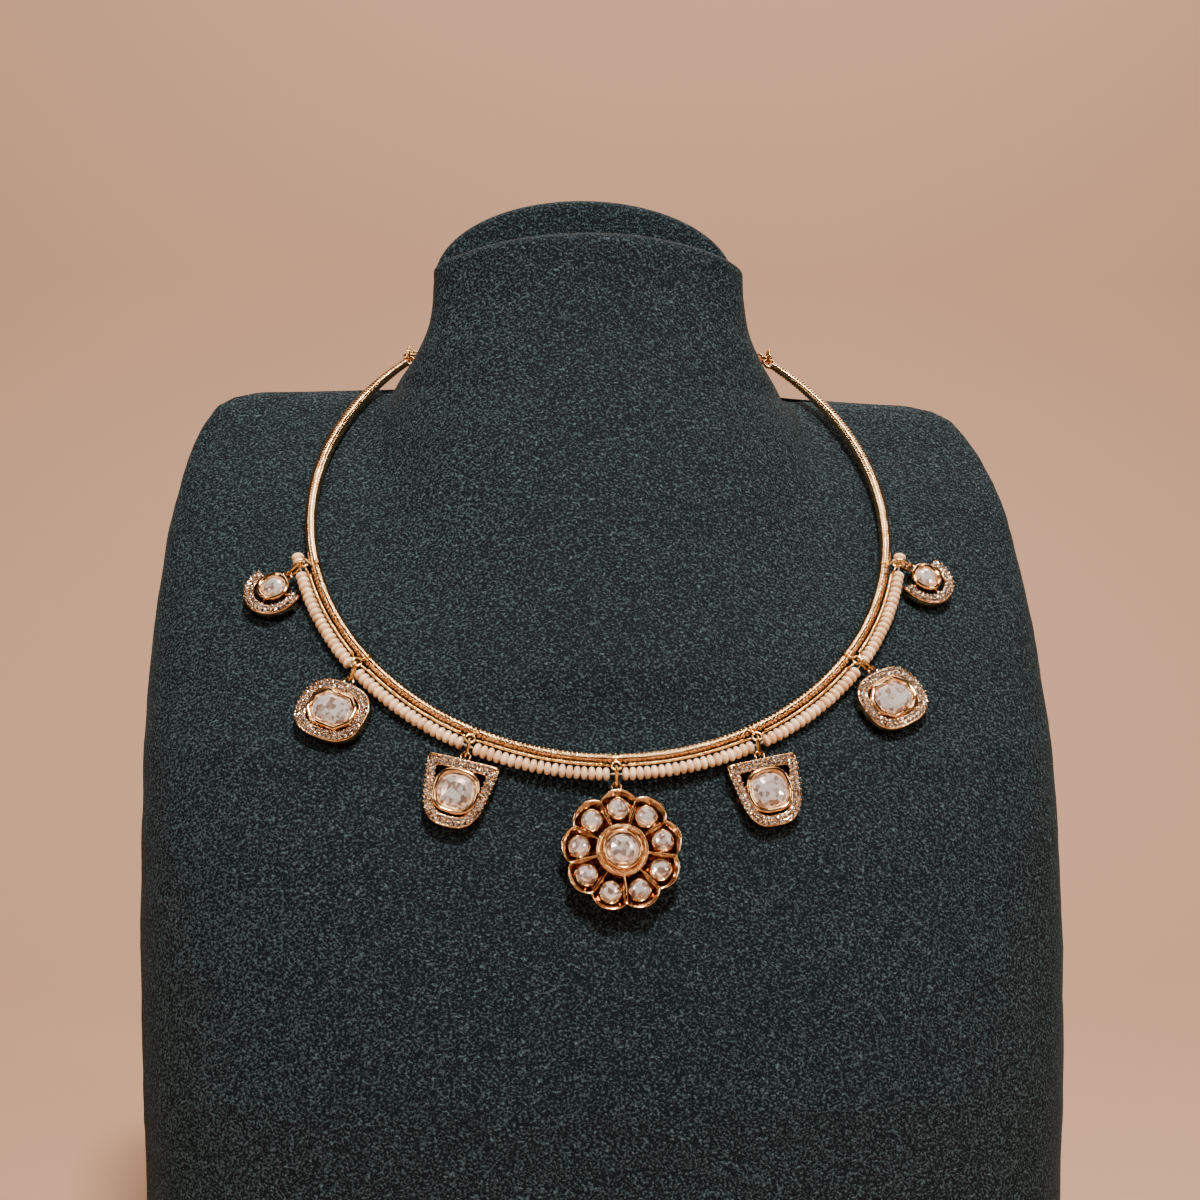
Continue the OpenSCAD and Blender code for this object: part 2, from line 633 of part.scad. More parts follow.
module in_drop(k) {
    frame_at(DROP_MID[k], DROP_X[k], DROP_Y[k]) children();
}
module drop_link(k) {
    p = link_from(k);
    q = link_to(k);
    y_dir = unit(q - p);
    z_dir = unit(cross(face_dir, y_dir));
    color(gold) frame_at((p + q) / 2, cross(y_dir, z_dir), y_dir)
        oval_wire(tidy(norm(q - p)), link_r, link_wire);
}
module drop_eye(k) {
    translate(eye_mid(k)) ring_wire(eye_r, eye_wire);
}

// Stones: rings of facet corners from the foot to the table, on an outline
// Columns: share of the outline, half steps of turn, height share
BRILLIANT = [[0.22, 0, 0], [0.62, 1, 0.2], [1, 2, 0.46], [1.03, 3, 0.56], [0.8, 4, 0.82],
    [0.56, 5, 1]];
STEP_CUT = [[0.3, 0, 0], [0.7, 0, 0.22], [1, 0, 0.46], [1, 0, 0.56], [0.84, 0, 0.84], [0.6, 0, 1]];
function gem_point(outline, i, half_steps) =
    let(n = len(outline), a = floor(i + half_steps / 2), b = ceil(i + half_steps / 2))
    (outline[a % n] + outline[b % n]) / 2;
module gem(outline, height, cut) {
    color(crystal) skin([for (row = cut) [for (i = [0:len(outline) - 1])
        concat(row[0] * gem_point(outline, i, row[1]), row[2] * height)]]);
}
function round_outline(d, n) = [for (i = [0:n - 1]) let(a = (i + 0.5) * 360 / n)
    d / 2 * [cos(a), sin(a)]];
function soft_outline(w, h, power, n) = [for (i = [0:n - 1])
    let(a = (i + 0.5) * 360 / n, r = superellipse(a, w / 2, h / 2, power)) r * [cos(a), sin(a)]];
oct_cut = 0.3;
function oct_outline(l, w) = let(c = oct_cut * w, x = l / 2, y = w / 2)
    [[x, y - c], [x - c, y], [c - x, y], [-x, y - c], [-x, c - y], [c - x, -y], [x - c, -y],
    [x, c - y]];

// Frames of the side drops
stone_h = 3;
stone_foot = 0.9;
bezel_h = 3.6;
frame_n = 40;
// The band of a frame has a sunk track for its row of small stones
track_w = band_w - 0.5;
track_deep = 0.3;
bar_w = 1.1;
bar_t = 0.8;

module shell(outer, inner, height) {
    linear_extrude(height) difference() {
        polygon(outer);
        polygon(inner);
    }
}
// Outlines of the frames, drawn in by a distance
shield_taper = 0.3;
shield_top_round = 14;
shield_foot_round = 3;
// The shields' stones sit this much above the middle
shield_stone_up = 0.3;
function shield_outline(in) = [for (i = [0:frame_n - 1])
    let(a = (i + 0.5) * 360 / frame_n, w = shield_w / 2 - in, h = shield_h / 2 - in,
        r = superellipse(a, w, h, sin(a) > 0 ? shield_top_round : shield_foot_round),
        y = r * sin(a))
    [r * cos(a) * (1 - shield_taper * (1 - y / h) / 2), y]];
function oval_outline(in) = soft_outline(oval_w - 2 * in, oval_h - 2 * in, 2.7, frame_n);
module band(outer, inner, track_out, track_in) {
    difference() {
        shell(outer, inner, band_t);
        translate([0, 0, band_t - track_deep]) shell(track_out, track_in, 1);
    }
}
rim = (band_w - track_w) / 2;

module shield_frame(k) {
    wall = bezel_t + fit;
    n = 24;
    color(gold) in_drop(k) {
        band(shield_outline(0), shield_outline(band_w), shield_outline(rim),
            shield_outline(band_w - rim));
        translate([0, shield_stone_up, 0])
            shell(soft_outline(shield_stone_w + 2 * wall, shield_stone_h + 2 * wall, 2.6, n),
                soft_outline(shield_stone_w + 2 * fit, shield_stone_h + 2 * fit, 2.6, n), bezel_h);
        back_bars(shield_w - band_w, shield_h - band_w);
        drop_eye(k);
    }
}
module back_bars(w, h) {
    translate([-w / 2, -bar_w / 2, 0]) cube([w, bar_w, bar_t]);
    translate([-bar_w / 2, -h / 2, 0]) cube([bar_w, h, bar_t]);
}
module oval_frame(k) {
    wall = bezel_t + fit;
    color(gold) in_drop(k) {
        band(oval_outline(0), oval_outline(band_w), oval_outline(rim), oval_outline(band_w - rim));
        shell(oct_outline(oct_stone_l + 2 * wall, oct_stone_w + 2 * wall),
            oct_outline(oct_stone_l + 2 * fit, oct_stone_w + 2 * fit), bezel_h);
        back_bars(oval_w - band_w, oval_h - band_w);
        drop_eye(k);
    }
}
// Half ring with a rectangular section, from one angle to another
module ring_part(r_in, r_out, low, high, from, to) {
    rotate([0, 0, from]) rotate_extrude(angle = to - from)
        translate([r_in, low]) square([r_out - r_in, high - low]);
}
module crescent_frame(k) {
    side = k == 0 ? -1 : 1;
    r_out = crescent_d / 2;
    r_in = r_out - band_w;
    from = 90 + crescent_gap / 2;
    to = 450 - crescent_gap / 2;
    middle = [side * bezel_shift.x, bezel_shift.y, 0];
    bezel_in = crescent_stone_d / 2 + fit;
    color(gold) in_drop(k) {
        difference() {
            ring_part(r_in, r_out, 0, band_t, from, to);
            ring_part(r_in + rim, r_out - rim, band_t - track_deep, band_t + 1, from + 5, to - 5);
        }
        translate(middle) difference() {
            cylinder(r = crescent_bezel_r, h = bezel_h);
            translate([0, 0, bar_t]) cylinder(r = bezel_in, h = bezel_h);
            translate([0, 0, -1]) cylinder(r = bezel_in - 1.2, h = bezel_h);
        }
        for (a = [from + 6, 270, to - 6]) {
            foot = [(r_in + 0.5) * cos(a), (r_in + 0.5) * sin(a), 0];
            way = unit(middle - foot);
            gap = norm(middle - foot) - crescent_bezel_r + 0.4;
            translate([0, 0, 1.6]) rod(foot, foot + gap * way, 0.7);
        }
        drop_eye(k);
    }
}
module shield_stone(k) {
    in_drop(k) translate([0, shield_stone_up, stone_foot])
        gem(soft_outline(shield_stone_w, shield_stone_h, 2.6, 14), stone_h, BRILLIANT);
}
module oct_stone(k) {
    in_drop(k) translate([0, 0, stone_foot]) gem(oct_outline(oct_stone_l, oct_stone_w), stone_h, STEP_CUT);
}
module crescent_stone(k) {
    side = k == 0 ? -1 : 1;
    in_drop(k) translate([side * bezel_shift.x, bezel_shift.y, stone_foot])
        gem(round_outline(crescent_stone_d, 10), stone_h, BRILLIANT);
}

// Flower drop: cupped petals round a raised middle, all on one flat back
petal_mid = flower_r - petal_r;
petal_turn = 360 / petals;
petal_stone_mid = petal_mid + 0.7;
petal_stone_h = 2.1;
petal_seat = 1.2;
collet_wall = 0.25;
collet_h = 2.7;
flower_base_t = 1;
cup_r = petal_r - 0.35;
cup_z = flower_h + 0.85;
middle_r = flower_stone_d / 2 + 1.75;
middle_h = flower_h + 0.2;
middle_bezel_h = flower_h + 1.4;
middle_seat = 2.6;
flower_stone_h = 3.2;

module each_petal() {
    for (i = [0:petals - 1]) rotate([0, 0, 90 - i * petal_turn]) children();
}
// Hollow of one petal, parted from its neighbours by thin straight walls
module petal_cup() {
    half = petal_turn / 2;
    tip = petal_wall / 2 / sin(half);
    reach = flower_r / cos(half);
    intersection() {
        translate([petal_mid + 0.2, 0, cup_z]) sphere(r = cup_r);
        linear_extrude(cup_z) polygon([[tip, 0], [tip + reach * cos(half), -reach * sin(half)],
            [tip + reach * cos(half), reach * sin(half)]]);
    }
}
module flower_body() {
    difference() {
        union() {
            cylinder(r = petal_mid, h = flower_base_t);
            linear_extrude(flower_h) union() {
                circle(r = petal_mid);
                each_petal() translate([petal_mid, 0]) circle(r = petal_r);
            }
        }
        each_petal() petal_cup();
    }
    each_petal() translate([petal_stone_mid, 0, 0.5])
        cylinder(d = petal_stone_d + 2 * fit + 2 * collet_wall, h = collet_h - 0.5);
    cylinder(r = middle_r, h = middle_h);
    translate([0, 0, middle_h]) ring_wire(middle_r - 0.45, 0.7);
    cylinder(r = flower_stone_d / 2 + fit + 0.55, h = middle_bezel_h);
}
module flower_setting() {
    color(gold) in_drop(3) {
        difference() {
            flower_body();
            each_petal() translate([petal_stone_mid, 0, petal_seat])
                cylinder(d = petal_stone_d + 2 * fit, h = flower_h);
            translate([0, 0, middle_seat]) cylinder(r = flower_stone_d / 2 + fit, h = flower_h);
        }
        drop_eye(3);
        for (s = [-1, 1])
            rod([s * 1.3, REACH[3] - 0.9, EYE_HEIGHT[3]], eye_mid(3) + [s * 0.8, 0.4, 0], strut_d);
    }
}
module flower_stone() {
    in_drop(3) translate([0, 0, middle_seat + fit])
        gem(round_outline(flower_stone_d, 12), flower_stone_h, BRILLIANT);
}
module petal_stone(i) {
    in_drop(3) rotate([0, 0, 90 - (i - 1) * petal_turn])
        translate([petal_stone_mid, 0, petal_seat + fit])
        gem(round_outline(petal_stone_d, 9), petal_stone_h, BRILLIANT);
}

neck_bust();
neck_panel();
collar_arm_left();
collar_arm_right();
core_wire();
rail_wire();
tube_sleeve(1);  // tube_sleeve_1
tube_sleeve(2);  // tube_sleeve_2
tube_sleeve(3);  // tube_sleeve_3
tube_sleeve(4);  // tube_sleeve_4
tube_sleeve(5);  // tube_sleeve_5
tube_sleeve(6);  // tube_sleeve_6
pearl_string(1);  // pearl_string_1
pearl_string(2);  // pearl_string_2
pearl_string(3);  // pearl_string_3
pearl_string(4);  // pearl_string_4
pearl_string(5);  // pearl_string_5
pearl_string(6);  // pearl_string_6
pearl_thread();
end_ring_left();
end_ring_right();
back_chain();
clasp_link();
drop_link(0);  // drop_link_1
drop_link(1);  // drop_link_2
drop_link(2);  // drop_link_3
drop_link(3);  // drop_link_4
drop_link(4);  // drop_link_5
drop_link(5);  // drop_link_6
drop_link(6);  // drop_link_7
crescent_frame(0);  // crescent_frame_left
oval_frame(1);  // oval_frame_left
shield_frame(2);  // shield_frame_left
flower_setting();
shield_frame(4);  // shield_frame_right
oval_frame(5);  // oval_frame_right
crescent_frame(6);  // crescent_frame_right
crescent_stone(0);  // crescent_stone_left
oct_stone(1);  // oct_stone_left
shield_stone(2);  // shield_stone_left
flower_stone();
shield_stone(4);  // shield_stone_right
oct_stone(5);  // oct_stone_right
crescent_stone(6);  // crescent_stone_right
petal_stone(1);  // petal_stone_1
petal_stone(2);  // petal_stone_2
petal_stone(3);  // petal_stone_3
petal_stone(4);  // petal_stone_4
petal_stone(5);  // petal_stone_5
petal_stone(6);  // petal_stone_6
petal_stone(7);  // petal_stone_7
petal_stone(8);  // petal_stone_8
petal_stone(9);  // petal_stone_9
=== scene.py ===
import math
import random

import bpy
from mathutils import Matrix, Vector, noise


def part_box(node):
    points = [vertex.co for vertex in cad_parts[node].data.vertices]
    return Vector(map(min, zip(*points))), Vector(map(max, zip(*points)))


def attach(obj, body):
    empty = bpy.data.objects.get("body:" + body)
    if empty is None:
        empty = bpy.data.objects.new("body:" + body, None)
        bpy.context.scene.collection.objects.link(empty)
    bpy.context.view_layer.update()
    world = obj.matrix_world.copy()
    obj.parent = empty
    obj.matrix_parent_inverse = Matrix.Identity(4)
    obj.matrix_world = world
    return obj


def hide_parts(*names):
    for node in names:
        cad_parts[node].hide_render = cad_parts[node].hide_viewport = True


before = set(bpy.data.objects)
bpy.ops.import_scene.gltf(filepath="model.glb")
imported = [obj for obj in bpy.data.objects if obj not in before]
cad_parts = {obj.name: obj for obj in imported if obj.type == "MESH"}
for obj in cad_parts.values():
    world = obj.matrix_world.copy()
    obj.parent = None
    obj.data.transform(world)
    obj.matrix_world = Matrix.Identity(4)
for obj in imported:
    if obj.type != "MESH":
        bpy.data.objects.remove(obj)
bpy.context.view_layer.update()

random.seed(11)
MM = 0.001  # all lengths below are millimetres, and pieces are made in metres


# ---------------- camera

# The camera looks at the collar from a little to the left and from just above it
CAMERA_AZIMUTH = -4.5
CAMERA_ELEVATION = 1.0
CAMERA_DISTANCE = 450
CAMERA_BELOW_COLLAR = 18.8
FOCAL_PIXELS = 1998
IMAGE_PIXELS = 1200
SENSOR = 36
CLIP = 0.01, 20  # metres


# ---------------- sizes

def mm_box(node):
    """Lowest and highest corner of a node, in millimetres."""
    low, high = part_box(node)
    return Vector(low) / MM, Vector(high) / MM


bust_high = mm_box("neck_bust")[1]
panel_low, panel_high = mm_box("neck_panel")
core_low, core_high = mm_box("core_wire")

BUST_W = 203.6
BUST_D = 96.5
SHOULDER_H = 219.3
SHOULDER_DROP = 3.0
NECK_W = 72.6
NECK_H = bust_high.z - SHOULDER_H
NECK_FLARE = 17.0
NECK_FLARE_AT, NECK_FLARE_RUN = 2.6, 6  # height over the shoulder of its middle, and its run
NECK_SHIFT = -1.7
SHIFT_BELOW, SHIFT_RUN = 29, 40  # where below the shoulder the shift starts, and its run
PANEL_T = 8.0
BACK_Y = panel_high.y
LAY = 0.25  # between the velvet and what lies on it

COLLAR_R = 64.5
COLLAR_LEAN = math.radians(38.2)
STATION_STEP = 26.3
OUTER_STATION = 77.5
TUBE_D = 2.4
TUBE_BREAK = 1.1
ARM_END_CLEAR = 7.7  # from the side of the neck to the end of an arm
ARM_START_D, ARM_MID_D, ARM_END_D = 2.6, 2.8, 2.1
CORE_D = 1.4
RAIL_D = 0.7
RAIL_GAP = 0.2
EYE_WIRE = 0.5
EYE_R = 0.95
FIT = 0.1
PEARL_D = 2.85
PEARL_T = 1.36
PEARL_GAP = 0.12
PEARL_HOLE = 0.7
PEARL_R = COLLAR_R + 3.4
PEARL_BACK = -0.6  # out of the collar's plane
PEARL_MARGIN = 1.2
END_PEARLS = 2

FLOWER_R = 12.4
FLOWER_H = 4.0
PETAL_R = 4.4
PETALS = 9
PETAL_STONE_D = 4.0
FLOWER_STONE_D = 6.7
SHIELD_W, SHIELD_H = 15.5, 14.4
SHIELD_TAPER = 0.3
SHIELD_STONE_UP = 0.3
OVAL_W, OVAL_H = 15.4, 13.6
CRESCENT_D = 13
CRESCENT_GAP = 145  # degrees
BEZEL_SHIFT = (0.1, 0.35)  # outward and up, of a crescent's stone
BAND_W, BAND_T = 1.85, 2.8
SHIELD_STONE = (7.8, 7.7)
OCT_STONE = (9, 6.9)
CRESCENT_STONE_D = 5.3
BEZEL_T = 0.8
BEZEL_H = 3.6
STONE_FOOT = 0.9
STONE_H = 3.0
BAR_T = 0.8
BAR_W = 1.1

# Sections of the velvet body: height share, half width share, front depth share,
# depth share of the widest line, back inset share, roundness of the front
BODY = [
    (0.000, 0.938, 0.979, 0.523, 0.005, 3.2), (0.018, 0.958, 0.995, 0.523, 0.000, 3.0),
    (0.182, 0.974, 1.000, 0.523, 0.000, 2.7), (0.319, 0.986, 0.979, 0.523, 0.000, 2.6),
    (0.433, 0.994, 0.933, 0.503, 0.000, 2.5), (0.547, 0.998, 0.865, 0.461, 0.000, 2.5),
    (0.638, 1.000, 0.791, 0.409, 0.000, 2.4), (0.684, 0.999, 0.717, 0.358, 0.000, 2.4),
    (0.752, 0.992, 0.612, 0.295, 0.000, 2.5), (0.812, 0.980, 0.500, 0.244, 0.000, 2.5),
    (0.848, 0.972, 0.436, 0.207, 0.000, 2.5), (0.878, 0.960, 0.383, 0.181, 0.000, 2.6),
    (0.910, 0.943, 0.317, 0.155, 0.002, 2.7), (0.940, 0.919, 0.250, 0.130, 0.005, 2.8),
    (0.963, 0.894, 0.205, 0.109, 0.009, 2.9), (0.982, 0.864, 0.165, 0.093, 0.020, 3.0),
    (0.992, 0.825, 0.138, 0.088, 0.036, 3.0), (0.998, 0.766, 0.116, 0.085, 0.057, 3.0),
    (1.000, 0.648, 0.097, 0.085, 0.073, 3.0),
]
WIDTH, FRONT, MIDDLE, INSET, ROUND = 1, 2, 3, 4, 5
# Up the neck: height share, and depth share of the widest line
NECK_MID = [(0, 0.085), (0.12, 0.14), (0.3, 0.18), (1, 0.18)]
NECK_CUT = 0.58  # share of its height above which the panel stands behind the neck
NECK_DEPTH = 32.6
NECK_SLOPE, SLOPE_RUN, SLOPE_END = 0.45, 8, 20.7  # the throat slopes forward below its end
NECK_REACH, NECK_FADE = 110, 50  # how far below the shoulder the neck's form starts
NECK_DOME = 6
LEAN_FADE = 20
# Roundness of the sections, and of the join of neck and shoulders
NECK_FRONT_POWER, NECK_BACK_POWER, BODY_BACK_POWER, JOIN_POWER = 2.2, 2.8, 6, 8
CHEST_STEP = 6  # reach of the measure of the chest's slope
HALVINGS = 16


# ---------------- shape of the bust

def smooth(s):
    """Soft step from 0 to 1."""
    t = max(0.0, min(1.0, s))
    return t * t * (3 - 2 * t)


def lookup(x, table, column=1):
    """Value of a table at x, drawn straight between its rows."""
    if x <= table[0][0]:
        return table[0][column]
    for a, b in zip(table, table[1:]):
        if x <= b[0]:
            share = (x - a[0]) / (b[0] - a[0])
            return a[column] + share * (b[column] - a[column])
    return table[-1][column]


def superellipse(angle, w, d, power):
    """Distance from the middle of a superellipse to its edge, at an angle."""
    c, s = abs(math.cos(angle)) / w, abs(math.sin(angle)) / d
    return (c ** power + s ** power) ** (-1 / power)


def neck_half(rise):
    return NECK_W / 2 + NECK_FLARE / (1 + math.exp((rise - NECK_FLARE_AT) / NECK_FLARE_RUN))


def neck_front(rise):
    bend = math.log(1 + math.exp((SLOPE_END - rise) / SLOPE_RUN))
    return NECK_DEPTH + NECK_SLOPE * SLOPE_RUN * bend


def shift_at(z):
    return NECK_SHIFT * smooth((z - SHOULDER_H + SHIFT_BELOW) / SHIFT_RUN)


def mid_depth(z):
    if z <= SHOULDER_H:
        return BUST_D * lookup(z / SHOULDER_H, BODY, MIDDLE)
    return BUST_D * lookup((z - SHOULDER_H) / NECK_H, NECK_MID)


def section_radius(angle, z):
    """Distance from the middle of a section to the velvet, at an angle."""
    rise, mid, s = z - SHOULDER_H, mid_depth(z), z / SHOULDER_H
    front = math.sin(angle) < 0
    back_gap = PANEL_T + LAY if rise > NECK_CUT * NECK_H else 0
    if front:
        neck = superellipse(angle, neck_half(rise), neck_front(rise) - mid, NECK_FRONT_POWER)
    else:
        neck = superellipse(angle, neck_half(rise), mid - back_gap, NECK_BACK_POWER)
    neck *= smooth((rise + NECK_REACH) / NECK_FADE)
    if rise > 0:
        return neck
    width = lookup(s, BODY, WIDTH) * BUST_W / 2
    if front:
        depth = lookup(s, BODY, FRONT) * BUST_D - mid
        body = superellipse(angle, width, depth, lookup(s, BODY, ROUND))
    else:
        depth = mid - lookup(s, BODY, INSET) * BUST_D
        body = superellipse(angle, width, depth, BODY_BACK_POWER)
    joined = (body ** JOIN_POWER + neck ** JOIN_POWER) ** (1 / JOIN_POWER)
    return joined if front or math.sin(angle) == 0 else min(joined, mid / math.sin(angle))


def lean_share(z):
    """Share of the shoulders' lean at a height."""
    if z > SHOULDER_H:
        return max(0, 1 - (z - SHOULDER_H) / LEAN_FADE)
    return (z / SHOULDER_H) ** 3


def height_at(x, z):
    height = z - SHOULDER_DROP * (x / BUST_W) * lean_share(z)
    if z > SHOULDER_H:
        dome = ((z - SHOULDER_H) / NECK_H) ** 2 * ((x - NECK_SHIFT) / (NECK_W / 2)) ** 2
        height -= NECK_DOME * dome
    return height


def chest_y(x, height):
    """Place of the velvet's front at a sideways place and a height."""
    z = height + SHOULDER_DROP * (x / BUST_W) * lean_share(height)
    low, high, aim = math.radians(-90), math.radians(-2), abs(x - shift_at(z))
    for _ in range(HALVINGS):
        angle = (low + high) / 2
        if section_radius(angle, z) * math.cos(angle) < aim:
            low = angle
        else:
            high = angle
    return BACK_Y - mid_depth(z) + section_radius(angle, z) * math.sin(angle)


def chest_out(x, z):
    """Direction straight out of the velvet's front."""
    across = (chest_y(x + CHEST_STEP, z) - chest_y(x - CHEST_STEP, z)) / (2 * CHEST_STEP)
    up = (chest_y(x, z + CHEST_STEP) - chest_y(x, z - CHEST_STEP)) / (2 * CHEST_STEP)
    return Vector((across, -1, up)).normalized()


# ---------------- places on the collar

FACE = Vector((0, -math.cos(COLLAR_LEAN), math.sin(COLLAR_LEAN)))
STATIONS = [-OUTER_STATION, -2 * STATION_STEP, -STATION_STEP, 0,
            STATION_STEP, 2 * STATION_STEP, OUTER_STATION]
BAYS = range(1, len(STATIONS))  # each between two drops


def ring_dir(t):
    t = math.radians(t)
    return Vector((math.sin(t), -math.cos(t) * math.sin(COLLAR_LEAN),
                   -math.cos(t) * math.cos(COLLAR_LEAN)))


def along_dir(t):
    t = math.radians(t)
    return Vector((math.cos(t), math.sin(t) * math.sin(COLLAR_LEAN),
                   math.sin(t) * math.cos(COLLAR_LEAN)))


# The core wire's box gives the middle of the collar: its lowest point is at the front
COLLAR_MID = Vector((
    (core_low.x + core_high.x) / 2,
    core_low.y + COLLAR_R * math.sin(COLLAR_LEAN) + CORE_D / 2,
    core_low.z + COLLAR_R * math.cos(COLLAR_LEAN) + CORE_D / 2))


def collar_point(t, radius, out=0.0):
    return COLLAR_MID + radius * ring_dir(t) + out * FACE


def placed(x, y, z, middle):
    """Matrix of three directions and a middle."""
    return Matrix(((x.x, y.x, z.x, middle.x), (x.y, y.y, z.y, middle.y),
                   (x.z, y.z, z.z, middle.z), (0, 0, 0, 1)))


def axes_at(t, radius, out=0.0):
    """Matrix at a place of the collar: x outward, y along it, z to the front."""
    return placed(ring_dir(t), along_dir(t), FACE, collar_point(t, radius, out))


def degrees(length, radius=COLLAR_R):
    """Turn round the collar of a length along it."""
    return math.degrees(length / radius)


BREAK_TURN = degrees(TUBE_BREAK)
ARM_FROM = OUTER_STATION + BREAK_TURN / 2
ARM_TO = 180 - math.degrees(math.asin((NECK_W / 2 + ARM_END_CLEAR) / COLLAR_R))
EYELET_R = TUBE_D / 2 + EYE_WIRE / 2 + EYE_R + RAIL_GAP
# How far the eyelets stand out of the collar's plane
EYELET_OUT = [1.5, 1.2, 1.2, 1.2, 1.2, 1.2, 1.5]


# ---------------- places of the drops

# Sideways place and height from the station to the drop's middle, and its turn in degrees
DROPS = [(-8.5, -6.8, -33), (-6.6, -11.8, -21), (-4, -12.8, -13.8), (0.75, -18.9, 3.3),
         (3, -13.1, 11), (8.7, -10, 24), (9, -4.8, 38)]
SEAT_R = [CRESCENT_D / 2, OVAL_W / 2, SHIELD_W / 2, FLOWER_R,
          SHIELD_W / 2, OVAL_W / 2, CRESCENT_D / 2]


def drop_frame(k):
    """Matrix that lays a drop on the chest: x to the right, y up, z out."""
    side, down, spin = DROPS[k]
    at = collar_point(STATIONS[k], COLLAR_R) + Vector((side, 0, down))
    out = chest_out(at.x, at.z)
    up = (Vector((0, 0, 1)) - out.z * out).normalized()
    right = up.cross(out)
    c, s = math.cos(math.radians(spin)), math.sin(math.radians(spin))
    dx, dy = c * right + s * up, c * up - s * right
    foot = Vector((at.x, chest_y(at.x, at.z), at.z))
    lift = 0.0  # the drop lies on the highest of these places
    for share in (0.5, 1):
        for a in range(0, 360, 30):
            p = foot + SEAT_R[k] * share * (math.cos(math.radians(a)) * dx
                                            + math.sin(math.radians(a)) * dy)
            lift = max(lift, (Vector((p.x, chest_y(p.x, p.z), p.z)) - foot).dot(out))
    return placed(dx, dy, out, foot + (lift + LAY) * out)


# ---------------- building pieces

TORUS_TURNS, TORUS_SIDES = 32, 10


def around(count, start=0.0):
    """Angles of even spacing, once round."""
    return [2 * math.pi * (i + start) / count for i in range(count)]


def polar(radius, angle, z=0.0):
    return Vector((radius * math.cos(angle), radius * math.sin(angle), z))


class Shape:
    """Points and faces of one piece, in millimetres. A face's paint picks its material."""

    def __init__(self):
        self.points, self.faces, self.soft, self.paint = [], [], [], []

    def add(self, points, faces, place=None, soft=True, paint=0):
        start = len(self.points)
        self.points += [place @ Vector(p) if place else Vector(p) for p in points]
        self.faces += [[start + i for i in f] for f in faces]
        self.soft += [soft] * len(faces)
        self.paint += [paint] * len(faces)

    def loft(self, rings, place=None, soft=True, closed=False, caps=True, paint=0):
        """A skin over rings of the same number of points, each counter-clockwise."""
        n, points, faces = len(rings[0]), [p for ring in rings for p in ring], []
        spans = len(rings) if closed else len(rings) - 1
        for k in range(spans):
            low, high = k * n, (k + 1) % len(rings) * n
            for i in range(n):
                j = (i + 1) % n
                faces.append([low + i, low + j, high + j, high + i])
        if caps and not closed:
            faces.append(list(range(n))[::-1])
            faces.append([(len(rings) - 1) * n + i for i in range(n)])
        self.add(points, faces, place, soft, paint)

    def torus(self, radius, wire, place=None):
        """A ring of wire round z."""
        rings = [[(radius + wire / 2 * math.cos(b)) * polar(1, a)
                  - Vector((0, 0, wire / 2 * math.sin(b))) for b in around(TORUS_SIDES)]
                 for a in around(TORUS_TURNS)]
        self.loft(rings, place, closed=True)

    def ball(self, middle, diameter, sides, place=None):
        r, levels = diameter / 2, sides // 2
        tilts = [math.pi * (k / levels - 0.5) for k in range(1, levels)]
        rings = [[Vector(middle) + polar(r * math.cos(b), a, r * math.sin(b))
                  for a in around(sides)] for b in tilts]
        self.loft(rings, place)

    def rod(self, start, end, diameter, sides=8, place=None):
        start, end = Vector(start), Vector(end)
        turn = (end - start).to_track_quat("Z", "Y")
        rings = [[p + turn @ polar(diameter / 2, a) for a in around(sides)]
                 for p in (start, end)]
        self.loft(rings, place)


def make(name, shape, material, replaces=(), second=None):
    """Turns a shape into a piece that rides with the object.

    The second material is for the faces with paint 1."""
    mesh = bpy.data.meshes.new(name)
    mesh.from_pydata([tuple(p * MM) for p in shape.points], [], shape.faces)
    mesh.polygons.foreach_set("use_smooth", shape.soft)
    mesh.materials.append(material)
    if second:
        mesh.materials.append(second)
        mesh.polygons.foreach_set("material_index", shape.paint)
    mesh.update()
    piece = bpy.data.objects.new(name, mesh)
    bpy.context.scene.collection.objects.link(piece)
    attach(piece, "root")
    if replaces:
        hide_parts(*replaces)


# ---------------- shared effects

